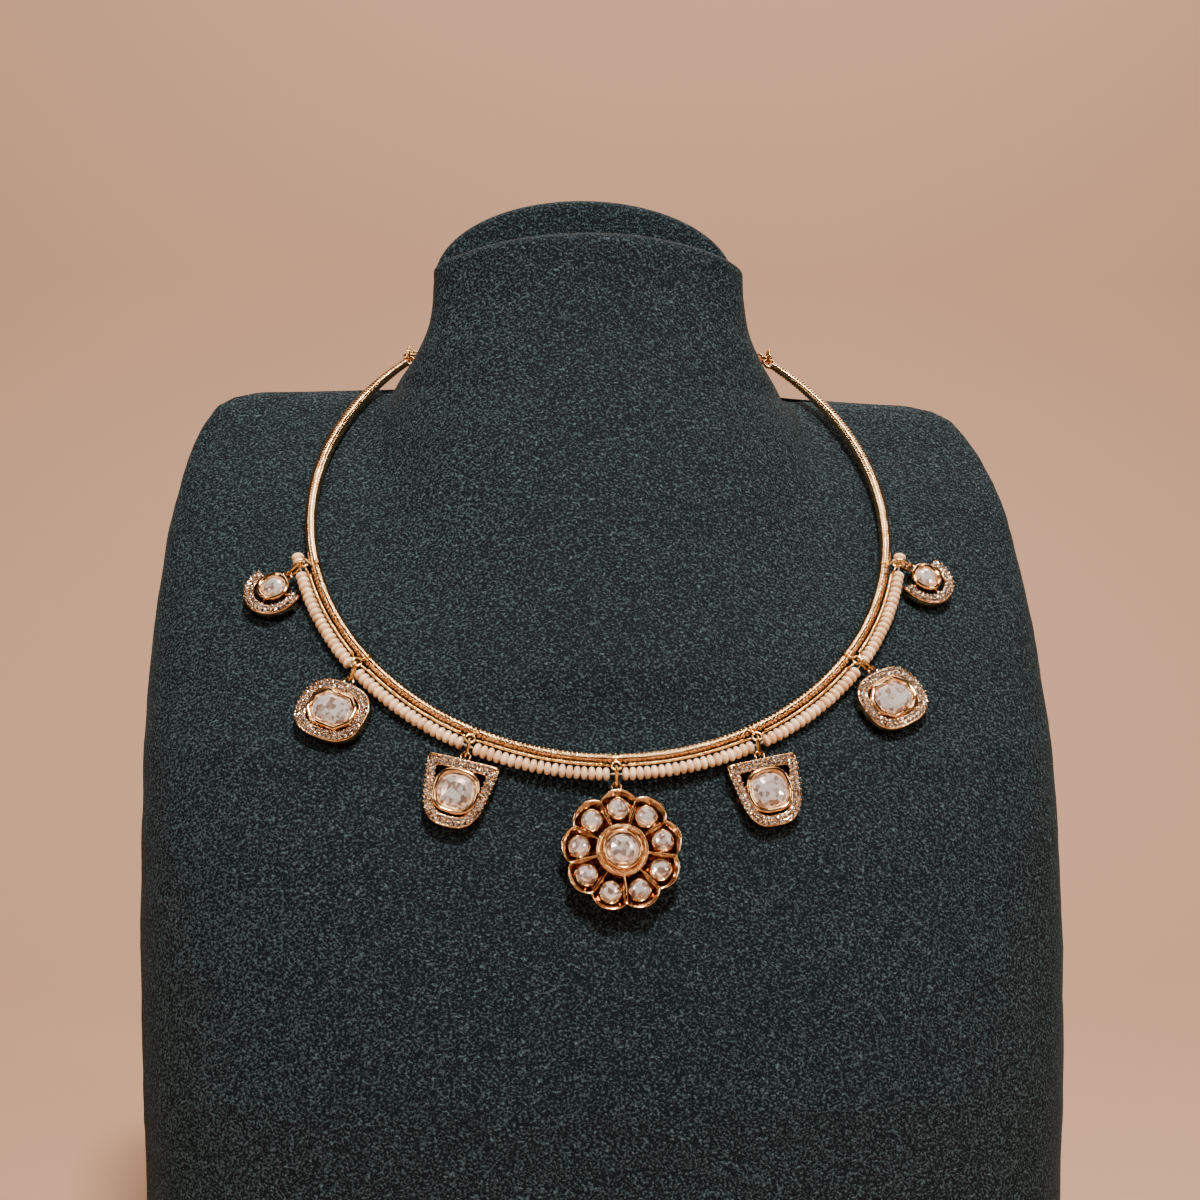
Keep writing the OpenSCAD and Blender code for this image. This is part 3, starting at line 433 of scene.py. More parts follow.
def patches_group(name, cells=False):
    """Patches over a surface between two colours, with a mask.

    They are soft blotches, or straight-edged cells that each have one share of the colours."""
    group = bpy.data.node_groups.new(name, "ShaderNodeTree")
    nodes, link = group.nodes, group.links.new
    settings = ["Scale"] if cells else ["Scale", "Detail"]
    for label in settings + ["Low", "High"]:
        group.interface.new_socket(label, in_out="INPUT", socket_type="NodeSocketFloat")
    for label in ("Dark", "Light"):
        group.interface.new_socket(label, in_out="INPUT", socket_type="NodeSocketColor")
    group.interface.new_socket("Color", in_out="OUTPUT", socket_type="NodeSocketColor")
    group.interface.new_socket("Mask", in_out="OUTPUT", socket_type="NodeSocketFloat")
    given, result = nodes.new("NodeGroupInput"), nodes.new("NodeGroupOutput")
    place = nodes.new("ShaderNodeTexCoord")
    texture = nodes.new("ShaderNodeTexVoronoi" if cells else "ShaderNodeTexNoise")
    link(place.outputs["Object"], texture.inputs["Vector"])
    for label in settings:
        link(given.outputs[label], texture.inputs[label])
    if cells:
        split = nodes.new("ShaderNodeSeparateColor")
        link(texture.outputs["Color"], split.inputs["Color"])
        share = split.outputs["Red"]
    else:
        share = texture.outputs["Fac"]
    span, mix = nodes.new("ShaderNodeMapRange"), nodes.new("ShaderNodeMix")
    mix.data_type = "RGBA"
    link(share, span.inputs["Value"])
    link(given.outputs["Low"], span.inputs["From Min"])
    link(given.outputs["High"], span.inputs["From Max"])
    link(span.outputs["Result"], mix.inputs["Factor"])
    link(given.outputs["Dark"], mix.inputs["A"])
    link(given.outputs["Light"], mix.inputs["B"])
    link(mix.outputs["Result"], result.inputs["Color"])
    link(span.outputs["Result"], result.inputs["Mask"])
    return group


BLOTCHES = patches_group("blotches")
# Cells of painted reflection and painted shade, for the cut stones
PAINTED_GLINT_CELLS = patches_group("painted glint cells", cells=True)


class Finish:
    """A material with one Principled shader, and helpers that feed its sockets."""

    def __init__(self, name, **sockets):
        self.material = bpy.data.materials.new(name)
        self.material.use_nodes = True
        tree = self.material.node_tree
        self.nodes, self.link = tree.nodes, tree.links.new
        self.shader = self.nodes["Principled BSDF"]
        for label, value in sockets.items():
            self.shader.inputs[label.replace("_", " ")].default_value = value

    def effect(self, group, **values):
        """Places a shared effect with values of its own."""
        node = self.nodes.new("ShaderNodeGroup")
        node.node_tree = group
        for label, value in values.items():
            node.inputs[label].default_value = value
        return node

    def blotches(self, tones, scale, detail, low, high):
        return self.effect(BLOTCHES, Scale=scale, Detail=detail, Low=low, High=high,
                           Dark=tones[0], Light=tones[1])

    def colour(self, source):
        """Feeds the base colour with an effect's colours."""
        self.link(source.outputs["Color"], self.shader.inputs["Base Color"])

    def roughness(self, source, low, high):
        """Feeds the roughness with a mask stretched from low to high."""
        node = self.nodes.new("ShaderNodeMapRange")
        node.inputs["To Min"].default_value = low
        node.inputs["To Max"].default_value = high
        self.link(source.outputs["Mask"], node.inputs["Value"])
        self.link(node.outputs["Result"], self.shader.inputs["Roughness"])

    def bump(self, source, distance):
        """Raises the surface with a mask, by a distance in millimetres."""
        node = self.nodes.new("ShaderNodeBump")
        node.inputs["Distance"].default_value = distance * MM
        self.link(source.outputs["Mask"], node.inputs["Height"])
        self.link(node.outputs["Normal"], self.shader.inputs["Normal"])


def tone(red, green, blue):
    return (red, green, blue, 1)


# Dark and light tone of each material
BLACK_WHITE = tone(0, 0, 0), tone(1, 1, 1)
TEAL = tone(0.0005, 0.003, 0.0045), tone(0.066, 0.104, 0.118)
ROSE_GOLD = tone(0.55, 0.27, 0.10), tone(1.0, 0.66, 0.34)
# The cup gold is a darker gold that paints the shade in the flower's hollow cups
CUP_SHADE_GOLD = tone(0.22, 0.09, 0.03), tone(0.62, 0.33, 0.13)
YELLOW_GOLD = tone(0.55, 0.28, 0.07), tone(1.0, 0.64, 0.25)
CREAM = tone(0.64, 0.37, 0.19), tone(0.92, 0.66, 0.42)
# Crystal tones: the dark is painted shade and the light painted reflection, laid in the facets'
# cells
CHAMPAGNE = tone(0.34, 0.21, 0.16), tone(1.0, 0.90, 0.84)
CLEAR = tone(0.16, 0.07, 0.03), tone(1.0, 0.94, 0.88)
RAW_SILK = tone(0.55, 0.46, 0.36), tone(0.80, 0.72, 0.60)


def velvet_finish():
    """Dark teal velvet with a fine crinkled pile."""
    finish = Finish("teal velvet", Roughness=0.85, Sheen_Weight=0.05, Sheen_Roughness=0.35,
                    Sheen_Tint=tone(0.60, 0.80, 0.84), Specular_IOR_Level=0.15)
    pile = finish.blotches(TEAL, scale=1900, detail=7, low=0.48, high=0.68)
    finish.colour(pile)
    finish.bump(pile, distance=0.7)
    return finish.material


def gold_finish(name, tones, smoothest, roughest):
    """Polished warm gold, a little uneven in tone and polish."""
    finish = Finish(name, Metallic=1.0)
    finish.colour(finish.blotches(tones, scale=900, detail=3, low=0.35, high=0.65))
    polish = finish.blotches(BLACK_WHITE, scale=2600, detail=2, low=0.3, high=0.7)
    finish.roughness(polish, smoothest, roughest)
    return finish.material


def pearl_finish():
    """Cream-pink pearl with a soft lustre."""
    finish = Finish("cream pearl", Coat_Weight=0.9, Coat_Roughness=0.10,
                    Subsurface_Weight=0.15, Subsurface_Scale=0.6 * MM)
    finish.shader.inputs["Subsurface Radius"].default_value = (1.0, 0.6, 0.4)
    body = finish.blotches(CREAM, scale=420, detail=2, low=0.35, high=0.65)
    finish.colour(body)
    finish.roughness(body, low=0.22, high=0.34)
    return finish.material


def crystal_finish(name, tones, scale, metallic):
    """Cut glass on foil: facets that mirror, with cells of painted reflection and painted shade
    in the base colour.
    """
    finish = Finish(name, Metallic=metallic, Coat_Weight=1.0, Coat_Roughness=0.02)
    # The cells paint the stone's light: the light tone is painted reflection, the dark tone
    # painted shade
    depth = finish.effect(PAINTED_GLINT_CELLS, Scale=scale, Low=0.15, High=0.60, Dark=tones[0],
                          Light=tones[1])
    finish.colour(depth)
    finish.roughness(depth, low=0.22, high=0.06)
    return finish.material


def silk_finish():
    finish = Finish("silk thread", Roughness=0.7)
    finish.colour(finish.blotches(RAW_SILK, scale=4000, detail=2, low=0.3, high=0.7))
    return finish.material


VELVET = velvet_finish()
GOLD = gold_finish("rose gold", ROSE_GOLD, smoothest=0.07, roughest=0.20)
# Darker gold of painted shade, for the hollows of the flower's cups
SHADED_CUP_GOLD = gold_finish("gold with painted cup shade", CUP_SHADE_GOLD, smoothest=0.06, roughest=0.16)
WIRE_GOLD = gold_finish("yellow gold wire", YELLOW_GOLD, smoothest=0.09, roughest=0.24)
PEARL = pearl_finish()
CRYSTAL = crystal_finish("champagne crystal", CHAMPAGNE, scale=1000, metallic=0.65)
BRILLIANT = crystal_finish("clear brilliant", CLEAR, scale=2600, metallic=0.9)
SILK = silk_finish()


def dress(names, material):
    """Gives its material to each solid that shows as it is."""
    for name in names:
        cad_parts[name].data.materials.clear()
        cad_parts[name].data.materials.append(material)


dress(["core_wire", "end_ring_left", "end_ring_right", "back_chain", "clasp_link",
       *(f"drop_link_{i}" for i in range(1, len(STATIONS) + 1))], WIRE_GOLD)
dress(["pearl_thread"], SILK)


# ---------------- velvet bust

RING_N = 180
RING_FLAT = 0.45  # gathers the points of a section at its sides
LEVELS = 120
LEVEL_GATHER = 1.7  # gathers the sections near the shoulder
NECK_LEVELS = 44
NECK_EDGE, ROUNDED_SHARE = 2.2, 0.98  # rounding of the neck's top edge
NECK_TOP = ((0.92, 0.2), (0.84, 1.2), (0.5, 2.5), (0.1, 2.5))  # share of the edge, and sink
PILE_WAVE = 0.25  # height of the velvet's soft unevenness
BROAD_WAVE, FINE_WAVE, FINE_SHARE, WAVE_LEVEL = 0.09, 0.3, 0.5, 0.4
WAVY_TO = 0.2  # the back, past this share of the depth, stays flat

PANEL_ARCH = 19.5  # height of the panel's arch
PANEL_EDGE = 3.2  # rounding of its padded edge
PANEL_HEART_UP = 3
ARCH_STEPS, EDGE_STEPS = 48, 16


def velvet_ring(z, inset=0.0):
    ring = []
    for u in around(RING_N):
        a = math.atan2(RING_FLAT * math.sin(u), math.cos(u))
        r = section_radius(a, z) - inset
        x = shift_at(z) + r * math.cos(a)
        p = Vector((x, BACK_Y - mid_depth(z) + r * math.sin(a), height_at(x, z)))
        if math.sin(a) < WAVY_TO:
            wave = noise.noise(p * BROAD_WAVE) + FINE_SHARE * noise.noise(p * FINE_WAVE)
            p += PILE_WAVE * (wave - WAVE_LEVEL) * polar(1, a)
        ring.append(p)
    return ring


def bust():
    shape = Shape()
    rings = [velvet_ring(SHOULDER_H * (1 - (1 - k / LEVELS) ** LEVEL_GATHER))
             for k in range(LEVELS + 1)]
    for k in range(1, NECK_LEVELS + 1):
        rise = NECK_H * k / NECK_LEVELS
        rounding = max(0.0, (rise - NECK_H + NECK_EDGE) / NECK_EDGE)
        inset = NECK_EDGE * (1 - math.sqrt(1 - ROUNDED_SHARE * rounding ** 2))
        rings.append(velvet_ring(SHOULDER_H + rise, inset))
    top = rings[-1]
    middle = sum(top, Vector()) / RING_N
    for share, sink in NECK_TOP:
        rings.append([middle + share * (p - middle) - Vector((0, 0, sink)) for p in top])
    shape.loft(rings)
    make("bust_velvet", shape, VELVET, ["neck_bust"])


def panel():
    """The arched padded panel behind the neck."""
    shape = Shape()
    low, high = panel_low, panel_high
    half, middle = (high.x - low.x) / 2, (high.x + low.x) / 2
    side = high.z - PANEL_ARCH
    arch = [(half * share, low.z) for share in (1, 0.5, 0, -0.5, -1)]
    for i in range(ARCH_STEPS + 1):
        a = math.pi * i / ARCH_STEPS
        arch.append((-half * math.cos(a), side + (high.z - side) * math.sin(a)))
    heart = Vector((0, (low.z + side) / 2 + PANEL_HEART_UP))
    rings = []
    for k in range(EDGE_STEPS + 1):
        b = math.pi * (k / EDGE_STEPS - 0.5)
        inset = PANEL_EDGE * (1 - abs(math.cos(b)) ** 0.5)
        y = low.y + (high.y - low.y) * (0.5 - 0.5 * math.sin(b))
        ring = []
        for x, z in arch:
            d = Vector((x, z)) - heart
            q = heart + d * (1 - inset / d.length)
            ring.append(Vector((middle + q.x, y, max(low.z, q.y))))
        rings.append(ring[::-1])
    shape.loft(rings)
    make("panel_velvet", shape, VELVET, ["neck_panel"])


bust()
panel()


# ---------------- collar

def collar_ring(t, radius_at, out=0.0, centre_r=COLLAR_R, sides=20):
    """One section of a wire that runs round the collar."""
    middle, outward = collar_point(t, centre_r, out), ring_dir(t)
    return [middle + radius_at(a) * (math.cos(a) * outward - math.sin(a) * FACE)
            for a in around(sides)]


# One turned land of the front tube: share of the pitch, and depth below the tube's face
LAND = [(0.0, 0.28), (0.14, 0.24), (0.28, 0.04), (0.5, 0.0), (0.72, 0.04), (0.86, 0.24)]
LAND_PITCH = 0.98
LAND_TILT = 0.02


def front_tube(k):
    """A sleeve of the front tube, turned into a row of narrow bright lands."""
    shape = Shape()
    start, end = STATIONS[k - 1] + BREAK_TURN / 2, STATIONS[k] - BREAK_TURN / 2
    length = math.radians(end - start) * COLLAR_R
    lands = round(length / LAND_PITCH)
    rings = []
    for i in range(lands):
        tilt = random.uniform(-LAND_TILT, LAND_TILT)
        for share, depth in LAND:
            r = TUBE_D / 2 - depth + tilt * (share - 0.5)
            t = start + (end - start) * (i + share) / lands
            rings.append(collar_ring(t, lambda a, r=r: r))
    rings.append(collar_ring(end, lambda a: TUBE_D / 2 - LAND[0][1]))
    shape.loft(rings)
    make(f"front_tube_{k}", shape, GOLD, [f"tube_sleeve_{k}"])


ARM_PITCH = 0.78
ARM_RIDGE = 0.16
ARM_LEAD = 1  # the ridges run round like a coil
RIDGE_STEPS = 5
ARM_EYE_R, ARM_EYE_WIRE, ARM_EYE_STRETCH = 1.2, 0.7, 1.25
# Along an arm: share of its length, and diameter
ARM_DIAMETERS = [(0, ARM_START_D), (0.2, ARM_START_D + 0.7 * (ARM_MID_D - ARM_START_D)),
                 (0.4, ARM_MID_D), (0.6, ARM_MID_D),
                 (0.8, ARM_MID_D + 0.5 * (ARM_END_D - ARM_MID_D)), (1, ARM_END_D)]


def arm(side, name):
    """A rear arm with fine coiled ridges and a flat eye at its end."""
    shape = Shape()
    length = math.radians(ARM_TO - ARM_FROM) * COLLAR_R
    steps = int(length / ARM_PITCH * RIDGE_STEPS)
    rings = []
    for i in range(steps + 1):
        s = i / steps
        base = lookup(s, ARM_DIAMETERS) / 2
        phase = 2 * math.pi * length * s / ARM_PITCH

        def radius(a, base=base, phase=phase):
            return base - ARM_RIDGE * (0.5 + 0.5 * math.cos(phase + ARM_LEAD * a)) ** 2
        rings.append(collar_ring(side * (ARM_FROM + s * (ARM_TO - ARM_FROM)), radius))
    if side < 0:
        rings = [ring[::-1] for ring in rings]
    shape.loft(rings)
    eye = collar_point(side * ARM_TO, COLLAR_R) + side * along_dir(side * ARM_TO)
    turn = FACE.to_track_quat("Z", "Y").to_matrix().to_4x4()
    stretch = Matrix.Diagonal((1, 1, ARM_EYE_STRETCH, 1))
    shape.torus(ARM_EYE_R, ARM_EYE_WIRE, Matrix.Translation(eye) @ turn @ stretch)
    make(f"arm_{name}", shape, GOLD, [f"collar_arm_{name}"])


for k in BAYS:
    front_tube(k)
arm(-1, "left")
arm(1, "right")


# ---------------- rail, wraps and eyelets

RAIL_R = COLLAR_R + TUBE_D / 2 + RAIL_D / 2 + RAIL_GAP
RAIL_OUT = 0.35
RAIL_SIDES = 10
DIP_TURN = 2.5  # degrees from a drop to where the rail dips to its eyelet
BEAD_PITCH = 0.72
# One bead of the rail: share of the pitch, and depth below its face
BEAD = [(0.0, 0.13), (0.2, 0.03), (0.5, 0.0), (0.8, 0.03)]
WRAP_R = CORE_D / 2 + FIT + EYE_WIRE / 2
KNOB_D, STRUT_D = 0.9, 0.4
GRAIN_D, GRAIN_IN, GRAIN_APART, GRAIN_UP = 0.62, 0.55 * WRAP_R, 0.62, 0.95 * WRAP_R
CORNER_D, CORNER_ROD_D = RAIL_D + 0.1, 0.45
KNOB_SIDES, GRAIN_SIDES = 12, 10


def beaded_arc(shape, start, end):
    """The rail between two drops, as a wire of small round beads."""
    beads = round(math.radians(end - start) * RAIL_R / BEAD_PITCH)
    places = [(i + share, depth) for i in range(beads) for share, depth in BEAD]
    places.append((beads, BEAD[0][1]))
    rings = []
    for at, depth in places:
        rings.append(collar_ring(start + (end - start) * at / beads,
                                 lambda a, r=RAIL_D / 2 - depth: r, RAIL_OUT, RAIL_R, RAIL_SIDES))
    shape.loft(rings)


def rail():
    shape = Shape()
    upright = Matrix.Rotation(math.pi / 2, 4, "X")
    for t, out in zip(STATIONS, EYELET_OUT):
        here = axes_at(t, COLLAR_R)
        shape.torus(WRAP_R, EYE_WIRE, here @ upright)
        shape.torus(EYE_R, EYE_WIRE, here @ Matrix.Translation((EYELET_R, 0, out)))
        lift = math.atan2(out, EYELET_R - EYE_R)
        knob = WRAP_R * Vector((math.cos(lift), 0, math.sin(lift)))
        shape.ball(knob, KNOB_D, KNOB_SIDES, here)
        shape.rod(knob, (EYELET_R - EYE_R, 0, out), STRUT_D, place=here)
        for side in (-GRAIN_APART, GRAIN_APART):
            shape.ball((GRAIN_IN, side, GRAIN_UP), GRAIN_D, GRAIN_SIDES, here)
    for k in BAYS:
        start, end = STATIONS[k - 1] + DIP_TURN, STATIONS[k] - DIP_TURN
        beaded_arc(shape, start, end)
        for t, j, side in ((start, k - 1, 1), (end, k, -1)):
            corner = collar_point(t, RAIL_R, RAIL_OUT)
            shape.ball(corner, CORNER_D, KNOB_SIDES)
            eyelet = axes_at(STATIONS[j], COLLAR_R + EYELET_R, EYELET_OUT[j])
            shape.rod(corner, eyelet @ Vector((0, side * EYE_R, 0)), CORNER_ROD_D)
    make("rail_beads", shape, WIRE_GOLD, ["rail_wire"])


rail()


# ---------------- pearls

PEARL_SIDES = 20
PEARL_STEPS = 8
PEARL_SQUARE = 0.7  # 1 is round, less is fuller
PEARL_TILT = 0.045  # radians
PEARL_THIN = 0.95  # least share of the full width
END_PLAY = 1e-6  # keeps rounding from dropping an end pearl


def pearl_profile():
    """Radius and place along the thread, from hole to hole."""
    edge, hole = PEARL_T / 2, PEARL_HOLE / 2
    profile = [(hole, -edge)]
    for i in range(PEARL_STEPS + 1):
        a = math.pi * (i / PEARL_STEPS - 0.5)
        swell = abs(math.cos(a)) ** PEARL_SQUARE
        profile.append((hole + (PEARL_D / 2 - hole) * swell, edge * math.sin(a)))
    return profile + [(hole, edge)]


PEARL_PROFILE = pearl_profile()


def pearl_row(shape, start, end):
    """Pearls of even spacing between two turns of the collar, in degrees."""
    turn = degrees(PEARL_T + PEARL_GAP, PEARL_R)
    count = math.floor((end - start) / turn)
    step = (end - start) / count
    for i in range(count):
        here = axes_at(start + (i + 0.5) * step, PEARL_R, PEARL_BACK)
        tilt = Matrix.Rotation(random.gauss(0, PEARL_TILT), 4, "X") @ Matrix.Rotation(
            random.gauss(0, PEARL_TILT), 4, "Z")
        thin = Matrix.Diagonal((random.uniform(PEARL_THIN, 1.0), 1,
                                random.uniform(PEARL_THIN, 1.0), 1))
        rings = [[(r * math.cos(a), y, -r * math.sin(a)) for a in around(PEARL_SIDES)]
                 for r, y in PEARL_PROFILE]
        shape.loft(rings, here @ tilt @ thin, closed=True)


def pearls(k):
    shape = Shape()
    margin = degrees(PEARL_MARGIN, PEARL_R)
    tail = END_PEARLS * degrees(PEARL_T + PEARL_GAP, PEARL_R) + END_PLAY
    pearl_row(shape, STATIONS[k - 1] + margin, STATIONS[k] - margin)
    if k == BAYS[0]:
        pearl_row(shape, STATIONS[0] - margin - tail, STATIONS[0] - margin)
    if k == BAYS[-1]:
        pearl_row(shape, STATIONS[-1] + margin, STATIONS[-1] + margin + tail)
    make(f"pearls_{k}", shape, PEARL, [f"pearl_string_{k}"])


for k in BAYS:
    pearls(k)


# ---------------- cut stones

def superellipse_outline(w, h, power, n):
    return [superellipse(a, w / 2, h / 2, power) * Vector((math.cos(a), math.sin(a)))
            for a in around(n, 0.5)]


def between(outline, at):
    """Point of an outline at a running number, with halves between its corners."""
    n = len(outline)
    return (outline[math.floor(at) % n] + outline[math.ceil(at) % n]) / 2


# Rows of facet corners from the foot to the table: share of the outline, half steps, height
BRILLIANT_CUT = [(0.10, 0, 0), (0.55, 1, 0.16), (0.80, 2, 0.30), (1.0, 3, 0.46),
                 (1.0, 4, 0.54), (0.86, 5, 0.72), (0.72, 6, 0.88), (0.46, 7, 1.0)]
STEP_CUT = [(0.3, 0, 0), (0.7, 0, 0.22), (1, 0, 0.46), (1, 0, 0.56), (0.86, 0, 0.80),
            (0.62, 0, 1)]
OCT_CORNER = 0.3  # share of the width cut off each corner
# Corners round a stone, and round the rim that holds it
SHIELD_FACETS, CRESCENT_FACETS, FLOWER_FACETS, PETAL_FACETS, PAVE_FACETS = 16, 12, 16, 11, 6
SHIELD_RIM_N, CRESCENT_RIM_N, PETAL_RIM_N = 48, 40, 36


def cut_stone(shape, outline, height, cut, place):
    """A faceted stone over an outline, by the rows of its cut."""
    n = len(outline)
    points, faces = [], []
    for share, turn, z in cut:
        for i in range(n):
            q = share * between(outline, i + turn / 2)
            points.append((q.x, q.y, z * height))
    for k in range(len(cut) - 1):
        turned = cut[k + 1][1] != cut[k][1]
        for i in range(n):
            a, b = k * n + i, k * n + (i + 1) % n
            c, d = a + n, b + n
            faces += [[a, b, c], [b, d, c]] if turned else [[a, b, d, c]]
    faces.append(list(range(n))[::-1])
    faces.append([(len(cut) - 1) * n + i for i in range(n)])
    shape.add(points, faces, place, soft=False)


def round_outline(d, n):
    return superellipse_outline(d, d, 2, n)


def oct_outline(length, width):
    c, x, y = OCT_CORNER * width, length / 2, width / 2
    return [Vector(p) for p in ((x, y - c), (x - c, y), (c - x, y), (-x, y - c),
                                (-x, c - y), (c - x, -y), (x - c, -y), (x, c - y))]


def stone_piece(name, outline, height, cut, place, node):
    shape = Shape()
    cut_stone(shape, outline, height, cut, place)
    make(name, shape, CRYSTAL, [node])


# ---------------- frames of the side drops

FRAME_N = 96
# Section of a band: inset from its outer edge as a share of its width, and height
BAND_SECTION = [(0.0, 0.0), (0.0, 0.90), (0.04, 0.97), (0.11, 1.0), (0.18, 0.97), (0.2, 0.86),
                (0.8, 0.86), (0.82, 0.97), (0.89, 1.0), (0.96, 0.97), (1.0, 0.90), (1.0, 0.0)]
BAND_LOOK = 2.3  # width of a band, wider inward than its solid to carry the two rows
PAVE_D = 1.04
PAVE_H = 0.8
PAVE_PITCH = 1.08
PAVE_SIDE = 0.47
PAVE_TURN, PAVE_TILT = 0.7, 0.16
PAVE_UP, PRONG_UP = 0.82, 1.03  # shares of the band's height
PRONG_D, PRONG_SIDES = 0.36, 8
PRONG_PLACES = PAVE_SIDE + PAVE_D / 2, 0.02  # distances from the middle of the band
SHIELD_TOP_POWER, SHIELD_FOOT_POWER, SHIELD_STONE_POWER, OVAL_POWER = 14, 3, 2.6, 2.7
BEZEL_LAP = 0.25  # how far a rim laps over its stone
# Section of a rim: share of its width from outside, and share of its height
BEZEL_SECTION = ((0, 0), (0, 0.88), (0.12, 0.97), (0.4, 1.0), (0.8, 0.94), (1.0, 0.80), (1.0, 0))
EYE_SINK, EYE_UP = 0.35, 2.2
CRESCENT_STEPS = 64
PAVE_STOP = 2  # steps at a crescent's tips without stones
SPOKE_SIDES = 10
SPOKE_D, SPOKE_UP, SPOKE_IN_BAND, SPOKE_IN_RIM = 0.7, 1.6, 0.5, 0.4
SPOKE_TURN = math.radians(6)  # from a crescent's tip to the spoke next to it


def shield_outline(inset):
    """Straight-topped outline that narrows to a rounded foot."""
    w, h = SHIELD_W / 2 - inset, SHIELD_H / 2 - inset
    points = []
    for a in around(FRAME_N, 0.5):
        power = SHIELD_TOP_POWER if math.sin(a) > 0 else SHIELD_FOOT_POWER
        reach = superellipse(a, w, h, power)
        x, y = reach * math.cos(a), reach * math.sin(a)
        points.append(Vector((x * (1 - SHIELD_TAPER * (1 - y / h) / 2), y)))
    return points


def oval_outline(inset):
    return superellipse_outline(OVAL_W - 2 * inset, OVAL_H - 2 * inset, OVAL_POWER, FRAME_N)


def raise_outline(outline, z):
    return [Vector((p.x, p.y, z)) for p in outline]


def closed_band(shape, outline_at, place):
    """A band with a raised edge on each side, all round an outline."""
    rings = [raise_outline(outline_at(share * BAND_LOOK), height * BAND_T)
             for share, height in BAND_SECTION]
    shape.loft(rings[::-1], place, closed=True)


def bezel(shape, outer, inner, height, place):
    """A rubbed-over rim round a large stone."""
    rings = [raise_outline([p.lerp(q, share) for p, q in zip(outer, inner)], z * height)
             for share, z in BEZEL_SECTION]
    shape.loft(rings[::-1], place, closed=True)


def spread(outline, pitch, closed=True):
    """Places of even spacing along an outline, each with its direction."""
    points = outline + [outline[0]] if closed else outline
    lengths = [(b - a).length for a, b in zip(points, points[1:])]
    total = sum(lengths)
    count = round(total / pitch)
    places, walked, index = [], 0.0, 0
    for i in range(count if closed else count + 1):
        aim = total * i / count
        while index < len(lengths) - 1 and walked + lengths[index] < aim:
            walked += lengths[index]
            index += 1
        a, b = points[index], points[index + 1]
        places.append((a.lerp(b, (aim - walked) / lengths[index]), (b - a).normalized()))
    return places


def pave(stones, prongs, outline, place, closed=True):
    """Two staggered rows of small brilliants, with prongs beside and between them."""
    for p, along in spread(outline, PAVE_PITCH, closed):
        across = Vector((-along.y, along.x))
        for side in (-1, 1):
            q = p + side * PAVE_SIDE * across + (side * PAVE_PITCH / 4) * along
            turn = Matrix.Rotation(random.uniform(0, PAVE_TURN), 4, "Z")
            tilt = Matrix.Rotation(random.gauss(0, PAVE_TILT), 4, "X")
            spot = Matrix.Translation((q.x, q.y, BAND_T * PAVE_UP))
            cut_stone(stones, round_outline(PAVE_D, PAVE_FACETS), PAVE_H, BRILLIANT_CUT,
                      place @ (spot @ turn @ tilt))
            for reach in PRONG_PLACES:
                foot = q + side * (reach - PAVE_SIDE) * across + PAVE_PITCH / 2 * along
                prongs.ball((foot.x, foot.y, BAND_T * PRONG_UP), PRONG_D, PRONG_SIDES, place)


def cross_bars(shape, w, h, place):
    """Two crossed bars under the stone, from side to side of the band."""
    for half, thin in ((w / 2, BAR_W / 2), (BAR_W / 2, h / 2)):
        corners = [(half, thin), (-half, thin), (-half, -thin), (half, -thin)]
        shape.loft([[(x, y, z) for x, y in corners] for z in (0, BAR_T)], place, soft=False)


def drop_eye(shape, reach, height, place):
    """The eye that a drop hangs by, on top of its reach."""
    eye = Matrix.Translation((0, reach - EYE_SINK + EYE_R, height))
    shape.torus(EYE_R, EYE_WIRE, place @ eye)


def side_drop(kind, k, side):
    """Frame, pave and large stone of a shield or oval drop."""
    place = seat = drop_frame(k)
    metal, stones = Shape(), Shape()
    growths = (FIT + BEZEL_T, FIT - BEZEL_LAP)
    if kind == "shield":
        outline_at, (width, height) = shield_outline, (SHIELD_W, SHIELD_H)
        long, short = SHIELD_STONE
        rims = [superellipse_outline(long + 2 * g, short + 2 * g, SHIELD_STONE_POWER,
                                     SHIELD_RIM_N)
                for g in growths]
        stone = superellipse_outline(long, short, SHIELD_STONE_POWER, SHIELD_FACETS)
        cut, node = BRILLIANT_CUT, "shield_stone"
        seat = place @ Matrix.Translation((0, SHIELD_STONE_UP, 0))
    else:
        outline_at, (width, height) = oval_outline, (OVAL_W, OVAL_H)
        rims = [oct_outline(OCT_STONE[0] + 2 * g, OCT_STONE[1] + 2 * g) for g in growths]
        stone = oct_outline(*OCT_STONE)
        cut, node = STEP_CUT, "oct_stone"
    closed_band(metal, outline_at, place)
    bezel(metal, *rims, BEZEL_H, seat)
    cross_bars(metal, width - BAND_W, height - BAND_W, place)
    drop_eye(metal, height / 2, EYE_UP, place)
    pave(stones, metal, outline_at(BAND_LOOK / 2), place)
    make(f"{kind}_setting_{side}", metal, GOLD, [f"{kind}_frame_{side}"])
    make(f"{kind}_pave_{side}", stones, BRILLIANT)
    stone_piece(f"{kind}_stone_{side}", stone, STONE_H, cut,
                seat @ Matrix.Translation((0, 0, STONE_FOOT)), f"{node}_{side}")


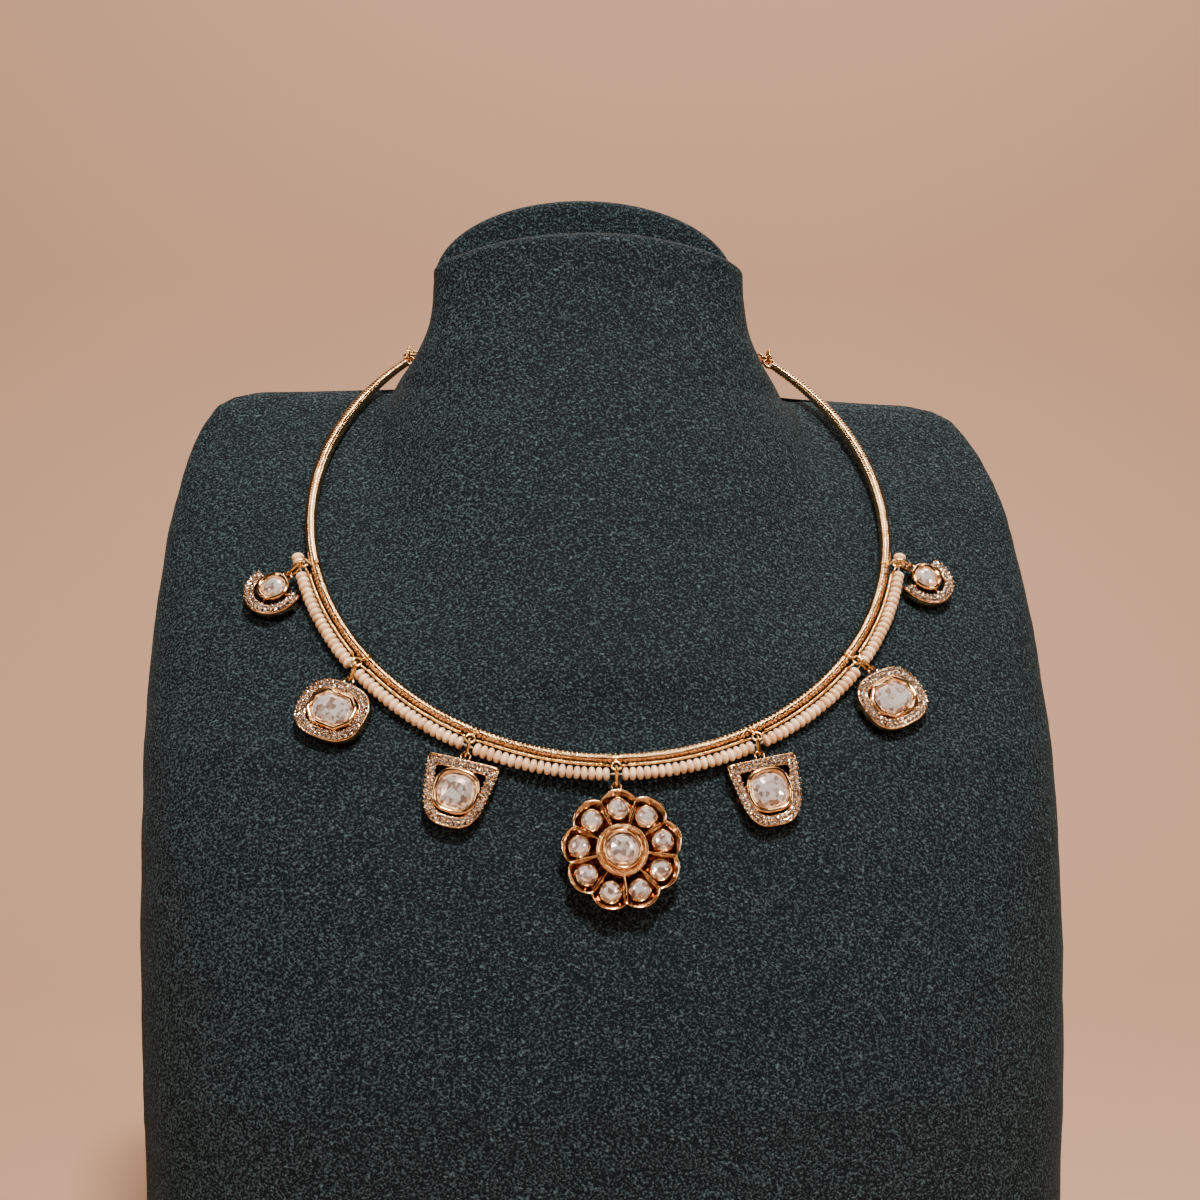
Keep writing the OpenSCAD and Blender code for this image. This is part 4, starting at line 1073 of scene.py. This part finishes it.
def crescent(k, side):
    """An open band with a round stone held in its mouth by three spokes."""
    place = drop_frame(k)
    metal, stones = Shape(), Shape()
    outer = CRESCENT_D / 2
    start, end = math.radians(90 + CRESCENT_GAP / 2), math.radians(450 - CRESCENT_GAP / 2)
    angles = [start + (end - start) * i / CRESCENT_STEPS for i in range(CRESCENT_STEPS + 1)]
    metal.loft([[polar(outer - share * BAND_LOOK, a, height * BAND_T)
                 for share, height in BAND_SECTION] for a in angles], place)
    r_mid = outer - BAND_LOOK / 2
    row = [Vector((r_mid * math.cos(a), r_mid * math.sin(a)))
           for a in angles[PAVE_STOP:-PAVE_STOP]]
    pave(stones, metal, row, place, closed=False)
    shift, up = BEZEL_SHIFT
    centre = Vector((-shift if side == "left" else shift, up, 0))
    setting = place @ Matrix.Translation(centre)
    bezel(metal, round_outline(CRESCENT_STONE_D + 2 * (FIT + BEZEL_T), CRESCENT_RIM_N),
          round_outline(CRESCENT_STONE_D + 2 * (FIT - BEZEL_LAP), CRESCENT_RIM_N),
          BEZEL_H, setting)
    rim = CRESCENT_STONE_D / 2 + FIT + BEZEL_T
    level = Vector((0, 0, SPOKE_UP))
    for a in (start + SPOKE_TURN, math.radians(270), end - SPOKE_TURN):
        foot = (outer - BAND_W + SPOKE_IN_BAND) * polar(1, a)
        way = centre - foot
        tip = foot + way.normalized() * (way.length - rim + SPOKE_IN_RIM)
        metal.rod(foot + level, tip + level, SPOKE_D, SPOKE_SIDES, place)
    drop_eye(metal, up + rim, EYE_UP, place)
    make(f"crescent_setting_{side}", metal, GOLD, [f"crescent_frame_{side}"])
    make(f"crescent_pave_{side}", stones, BRILLIANT)
    stone_piece(f"crescent_stone_{side}_cut", round_outline(CRESCENT_STONE_D, CRESCENT_FACETS),
                STONE_H, BRILLIANT_CUT, setting @ Matrix.Translation((0, 0, STONE_FOOT)),
                f"crescent_stone_{side}")


crescent(0, "left")
side_drop("oval", 1, "left")
side_drop("shield", 2, "left")
side_drop("shield", 4, "right")
side_drop("oval", 5, "right")
crescent(6, "right")


# ---------------- flower drop

PETAL_MID = FLOWER_R - PETAL_R
PETAL_TURN = 2 * math.pi / PETALS
STONE_MID = PETAL_MID + 0.7  # the stones sit a little outward in their petals
ACROSS = 26  # steps across one petal
OUTWARD = 30  # steps from the middle to the petals' tips
MIDDLE_R = FLOWER_STONE_D / 2 + 1.75  # round the wall of the middle stone
RIM_T = 0.32
RIM_STEPS = 2  # steps in from the tip that keep the plain gold; the cups inside them carry painted shade
PETAL_FLOOR = 1.45
WALL_T, CUP_START = 0.16, 0.25
SIDE_RUN, TIP_RUN, MIDDLE_RUN = 1.5, 2.6, 1.6  # widths of the slopes of a cup
# The flower's back from its middle outward: share of the reach, and height
FLOWER_BACK = ((0.05, 0), (0.86, 0), (0.93, 0.9), (0.98, 2.4), (1.0, 3.9))
# Wall and lip round the middle stone: radius and height
MIDDLE_WALL = ((5.1, 1.0), (5.1, 4.05), (4.95, 4.2), (4.3, 4.3), (4.15, 4.5), (4.0, 5.2),
               (3.85, 5.4), (3.6, 5.35), (3.45, 5.1), (3.35, 4.5), (3.35, 2.6))
MIDDLE_WALL_N = 72
# Rings of granules round it: radius, diameter, height and count
GRANULES = ((4.72, 0.5, 4.38, 58), (5.2, 0.34, 4.1, 90))
GRANULE_SIDES = 8
PETAL_RIM_OUT, PETAL_RIM_LAP, PETAL_RIM_H = 0.5, 0.3, 2.75
PETAL_STONE_H, PETAL_STONE_UP = 2.1, 1.35
FLOWER_STONE_H, FLOWER_STONE_UP = 3.2, 2.7
FLOWER_EYE_UP = 2.4
# Two struts that hold the flower's eye: half distances of feet and tops, and sizes
STRUT_FOOT, STRUT_TOP, STRUT_IN, STRUT_RISE, FLOWER_STRUT_D = 1.3, 0.8, 0.9, 0.4, 0.45


def petal_reach(angle):
    """Distance from the flower's middle to the petals' outline."""
    turn = (angle + PETAL_TURN / 2) % PETAL_TURN - PETAL_TURN / 2
    across = PETAL_MID * math.sin(turn)
    return PETAL_MID * math.cos(turn) + math.sqrt(PETAL_R ** 2 - across ** 2)


def petal_height(angle, share):
    """Height of the cupped petals, from the middle's wall (0) to the rim (1)."""
    turn = ((angle + PETAL_TURN / 2) % PETAL_TURN - PETAL_TURN / 2) / (PETAL_TURN / 2)
    reach = petal_reach(angle)
    radius = MIDDLE_R + share * (reach - MIDDLE_R)
    wall = max(0.0, (1 - abs(turn)) * PETAL_TURN / 2 * radius - WALL_T)
    edge = max(0.0, reach - radius - RIM_T)
    inner = radius - MIDDLE_R + CUP_START
    near = min(wall / SIDE_RUN, edge / TIP_RUN, inner / MIDDLE_RUN, 1.0)
    return FLOWER_H - (FLOWER_H - PETAL_FLOOR) * (1 - (1 - near) ** 2)


def flower():
    """Cupped petals round a walled middle, with a stone in each."""
    upright = drop_frame(3)
    place = upright @ Matrix.Rotation(math.pi / 2, 4, "Z")
    metal = Shape()
    angles = around(ACROSS * PETALS)
    rings = [[polar(share * petal_reach(a), a, z) for a in angles] for share, z in FLOWER_BACK]
    for i in range(OUTWARD + 1):
        share = 1 - i / OUTWARD
        rings.append([polar(MIDDLE_R + share * (petal_reach(a) - MIDDLE_R), a,
                            petal_height(a, share)) for a in angles])
    rim_end = len(FLOWER_BACK) + RIM_STEPS
    metal.loft(rings[:rim_end + 1], place, caps=False)
    # The cups inside the rims get the second, darker gold: painted shade in the hollows
    metal.loft(rings[rim_end:], place, caps=False, paint=1)
    metal.loft([[polar(r, a, z) for a in around(MIDDLE_WALL_N)] for r, z in MIDDLE_WALL], place)
    for radius, d, z, count in GRANULES:
        for a in around(count):
            metal.ball(polar(radius, a, z), d, GRANULE_SIDES, place)
    seat_d = PETAL_STONE_D + 2 * FIT
    for i in range(PETALS):
        spot = (place @ Matrix.Rotation(-PETAL_TURN * i, 4, "Z")
                @ Matrix.Translation((STONE_MID, 0, 0)))
        bezel(metal, round_outline(seat_d + PETAL_RIM_OUT, PETAL_RIM_N),
              round_outline(seat_d - PETAL_RIM_LAP, PETAL_RIM_N), PETAL_RIM_H, spot)
        turn = Matrix.Rotation(random.uniform(0, 1), 4, "Z")
        stone_piece(f"petal_stone_{i + 1}_cut", round_outline(PETAL_STONE_D, PETAL_FACETS),
                    PETAL_STONE_H, BRILLIANT_CUT,
                    spot @ turn @ Matrix.Translation((0, 0, PETAL_STONE_UP)),
                    f"petal_stone_{i + 1}")
    drop_eye(metal, FLOWER_R, FLOWER_EYE_UP, upright)
    eye = Vector((0, FLOWER_R - EYE_SINK + EYE_R, FLOWER_EYE_UP))
    for s in (-1, 1):
        metal.rod((s * STRUT_FOOT, FLOWER_R - STRUT_IN, FLOWER_EYE_UP),
                  eye + Vector((s * STRUT_TOP, STRUT_RISE, 0)), FLOWER_STRUT_D, place=upright)
    make("flower_petals", metal, GOLD, ["flower_setting"], SHADED_CUP_GOLD)
    stone_piece("flower_stone_cut", round_outline(FLOWER_STONE_D, FLOWER_FACETS), FLOWER_STONE_H,
                BRILLIANT_CUT, place @ Matrix.Translation((0, 0, FLOWER_STONE_UP)),
                "flower_stone")


flower()


# ---------------- stage, light and camera

# The room is in metres
BACKDROP_HALF_W, BACKDROP_H, BACKDROP_BEND = 3.0, 2.6, 0.35
BACKDROP_FRONT, BACKDROP_BACK = -2.0, 0.75
BEND_STEPS = 12
PALE_WALL, PALE_WALL_DARKER = tone(0.42, 0.245, 0.15), 0.97
WARM, FAINT_WARM, ROOM = (1.0, 0.93, 0.86), (1.0, 0.95, 0.9), (0.30, 0.25, 0.21, 1)
ROOM_STRENGTH = 0.12
COLLAR_AIM, WALL_AIM = COLLAR_MID * MM, (0.35, 0.75, 0.7)
# Softboxes: name, place, aim, size, watts and colour
SOFTBOXES = [
    ("key_above", (0.06, -0.58, 1.06), COLLAR_AIM, (0.13, 0.13), 26, WARM),
    ("strip_left", (-0.70, -0.60, 0.62), COLLAR_AIM, (0.07, 0.5), 3.6, FAINT_WARM),
    ("strip_right", (0.70, -0.55, 0.62), COLLAR_AIM, (0.07, 0.5), 4.4, WARM),
    ("behind_above", (0.30, 0.62, 0.95), COLLAR_AIM, (0.5, 0.3), 4, WARM),
    ("backdrop_glow", (0.0, 0.15, 1.5), WALL_AIM, (1.0, 0.4), 11, WARM),
]


def wall_finish():
    finish = Finish("pale floor", Roughness=0.8)
    darker = tone(*(PALE_WALL_DARKER * c for c in PALE_WALL[:3]))
    finish.colour(finish.blotches((darker, PALE_WALL), scale=3, detail=2, low=0.3, high=0.7))
    return finish.material


def backdrop():
    """A pale floor that turns up into a plain backdrop."""
    bend_from = BACKDROP_BACK - BACKDROP_BEND
    profile = [(BACKDROP_FRONT, 0.0), (bend_from, 0.0)]
    for i in range(1, BEND_STEPS + 1):
        a = math.pi / 2 * i / BEND_STEPS
        profile.append((bend_from + BACKDROP_BEND * math.sin(a),
                        BACKDROP_BEND - BACKDROP_BEND * math.cos(a)))
    profile.append((BACKDROP_BACK, BACKDROP_H))
    points = [(x, y, z) for y, z in profile for x in (-BACKDROP_HALF_W, BACKDROP_HALF_W)]
    faces = [[2 * i, 2 * i + 1, 2 * i + 3, 2 * i + 2] for i in range(len(profile) - 1)]
    mesh = bpy.data.meshes.new("floor")
    mesh.from_pydata(points, [], faces)
    mesh.polygons.foreach_set("use_smooth", [True] * len(faces))
    mesh.materials.append(wall_finish())
    floor = bpy.data.objects.new("floor", mesh)
    bpy.context.scene.collection.objects.link(floor)


def softbox(name, place, aim, size, watts, colour):
    lamp = bpy.data.lights.new(name, "AREA")
    lamp.shape = "RECTANGLE"
    lamp.size, lamp.size_y = size
    lamp.energy = watts
    lamp.color = colour
    light = bpy.data.objects.new(name, lamp)
    light.location = place
    light.rotation_euler = (Vector(aim) - Vector(place)).to_track_quat("-Z", "Y").to_euler()
    bpy.context.scene.collection.objects.link(light)


def room():
    """Faint light from all around."""
    world = bpy.data.worlds.new("room")
    world.use_nodes = True
    glow = world.node_tree.nodes["Background"]
    glow.inputs["Color"].default_value = ROOM
    glow.inputs["Strength"].default_value = ROOM_STRENGTH
    bpy.context.scene.world = world


def camera():
    a, e = math.radians(CAMERA_AZIMUTH), math.radians(CAMERA_ELEVATION)
    back = Vector((math.sin(a) * math.cos(e), -math.cos(a) * math.cos(e), math.sin(e)))
    data = bpy.data.cameras.new("camera")
    data.sensor_width = SENSOR
    data.lens = SENSOR * FOCAL_PIXELS / IMAGE_PIXELS
    data.clip_start, data.clip_end = CLIP
    eye = bpy.data.objects.new("camera", data)
    target = COLLAR_MID - Vector((0, 0, CAMERA_BELOW_COLLAR))
    eye.location = (target + CAMERA_DISTANCE * back) * MM
    eye.rotation_euler = (-back).to_track_quat("-Z", "Y").to_euler()
    bpy.context.scene.collection.objects.link(eye)
    bpy.context.scene.camera = eye


backdrop()
for lamp in SOFTBOXES:
    softbox(*lamp)
room()
camera()
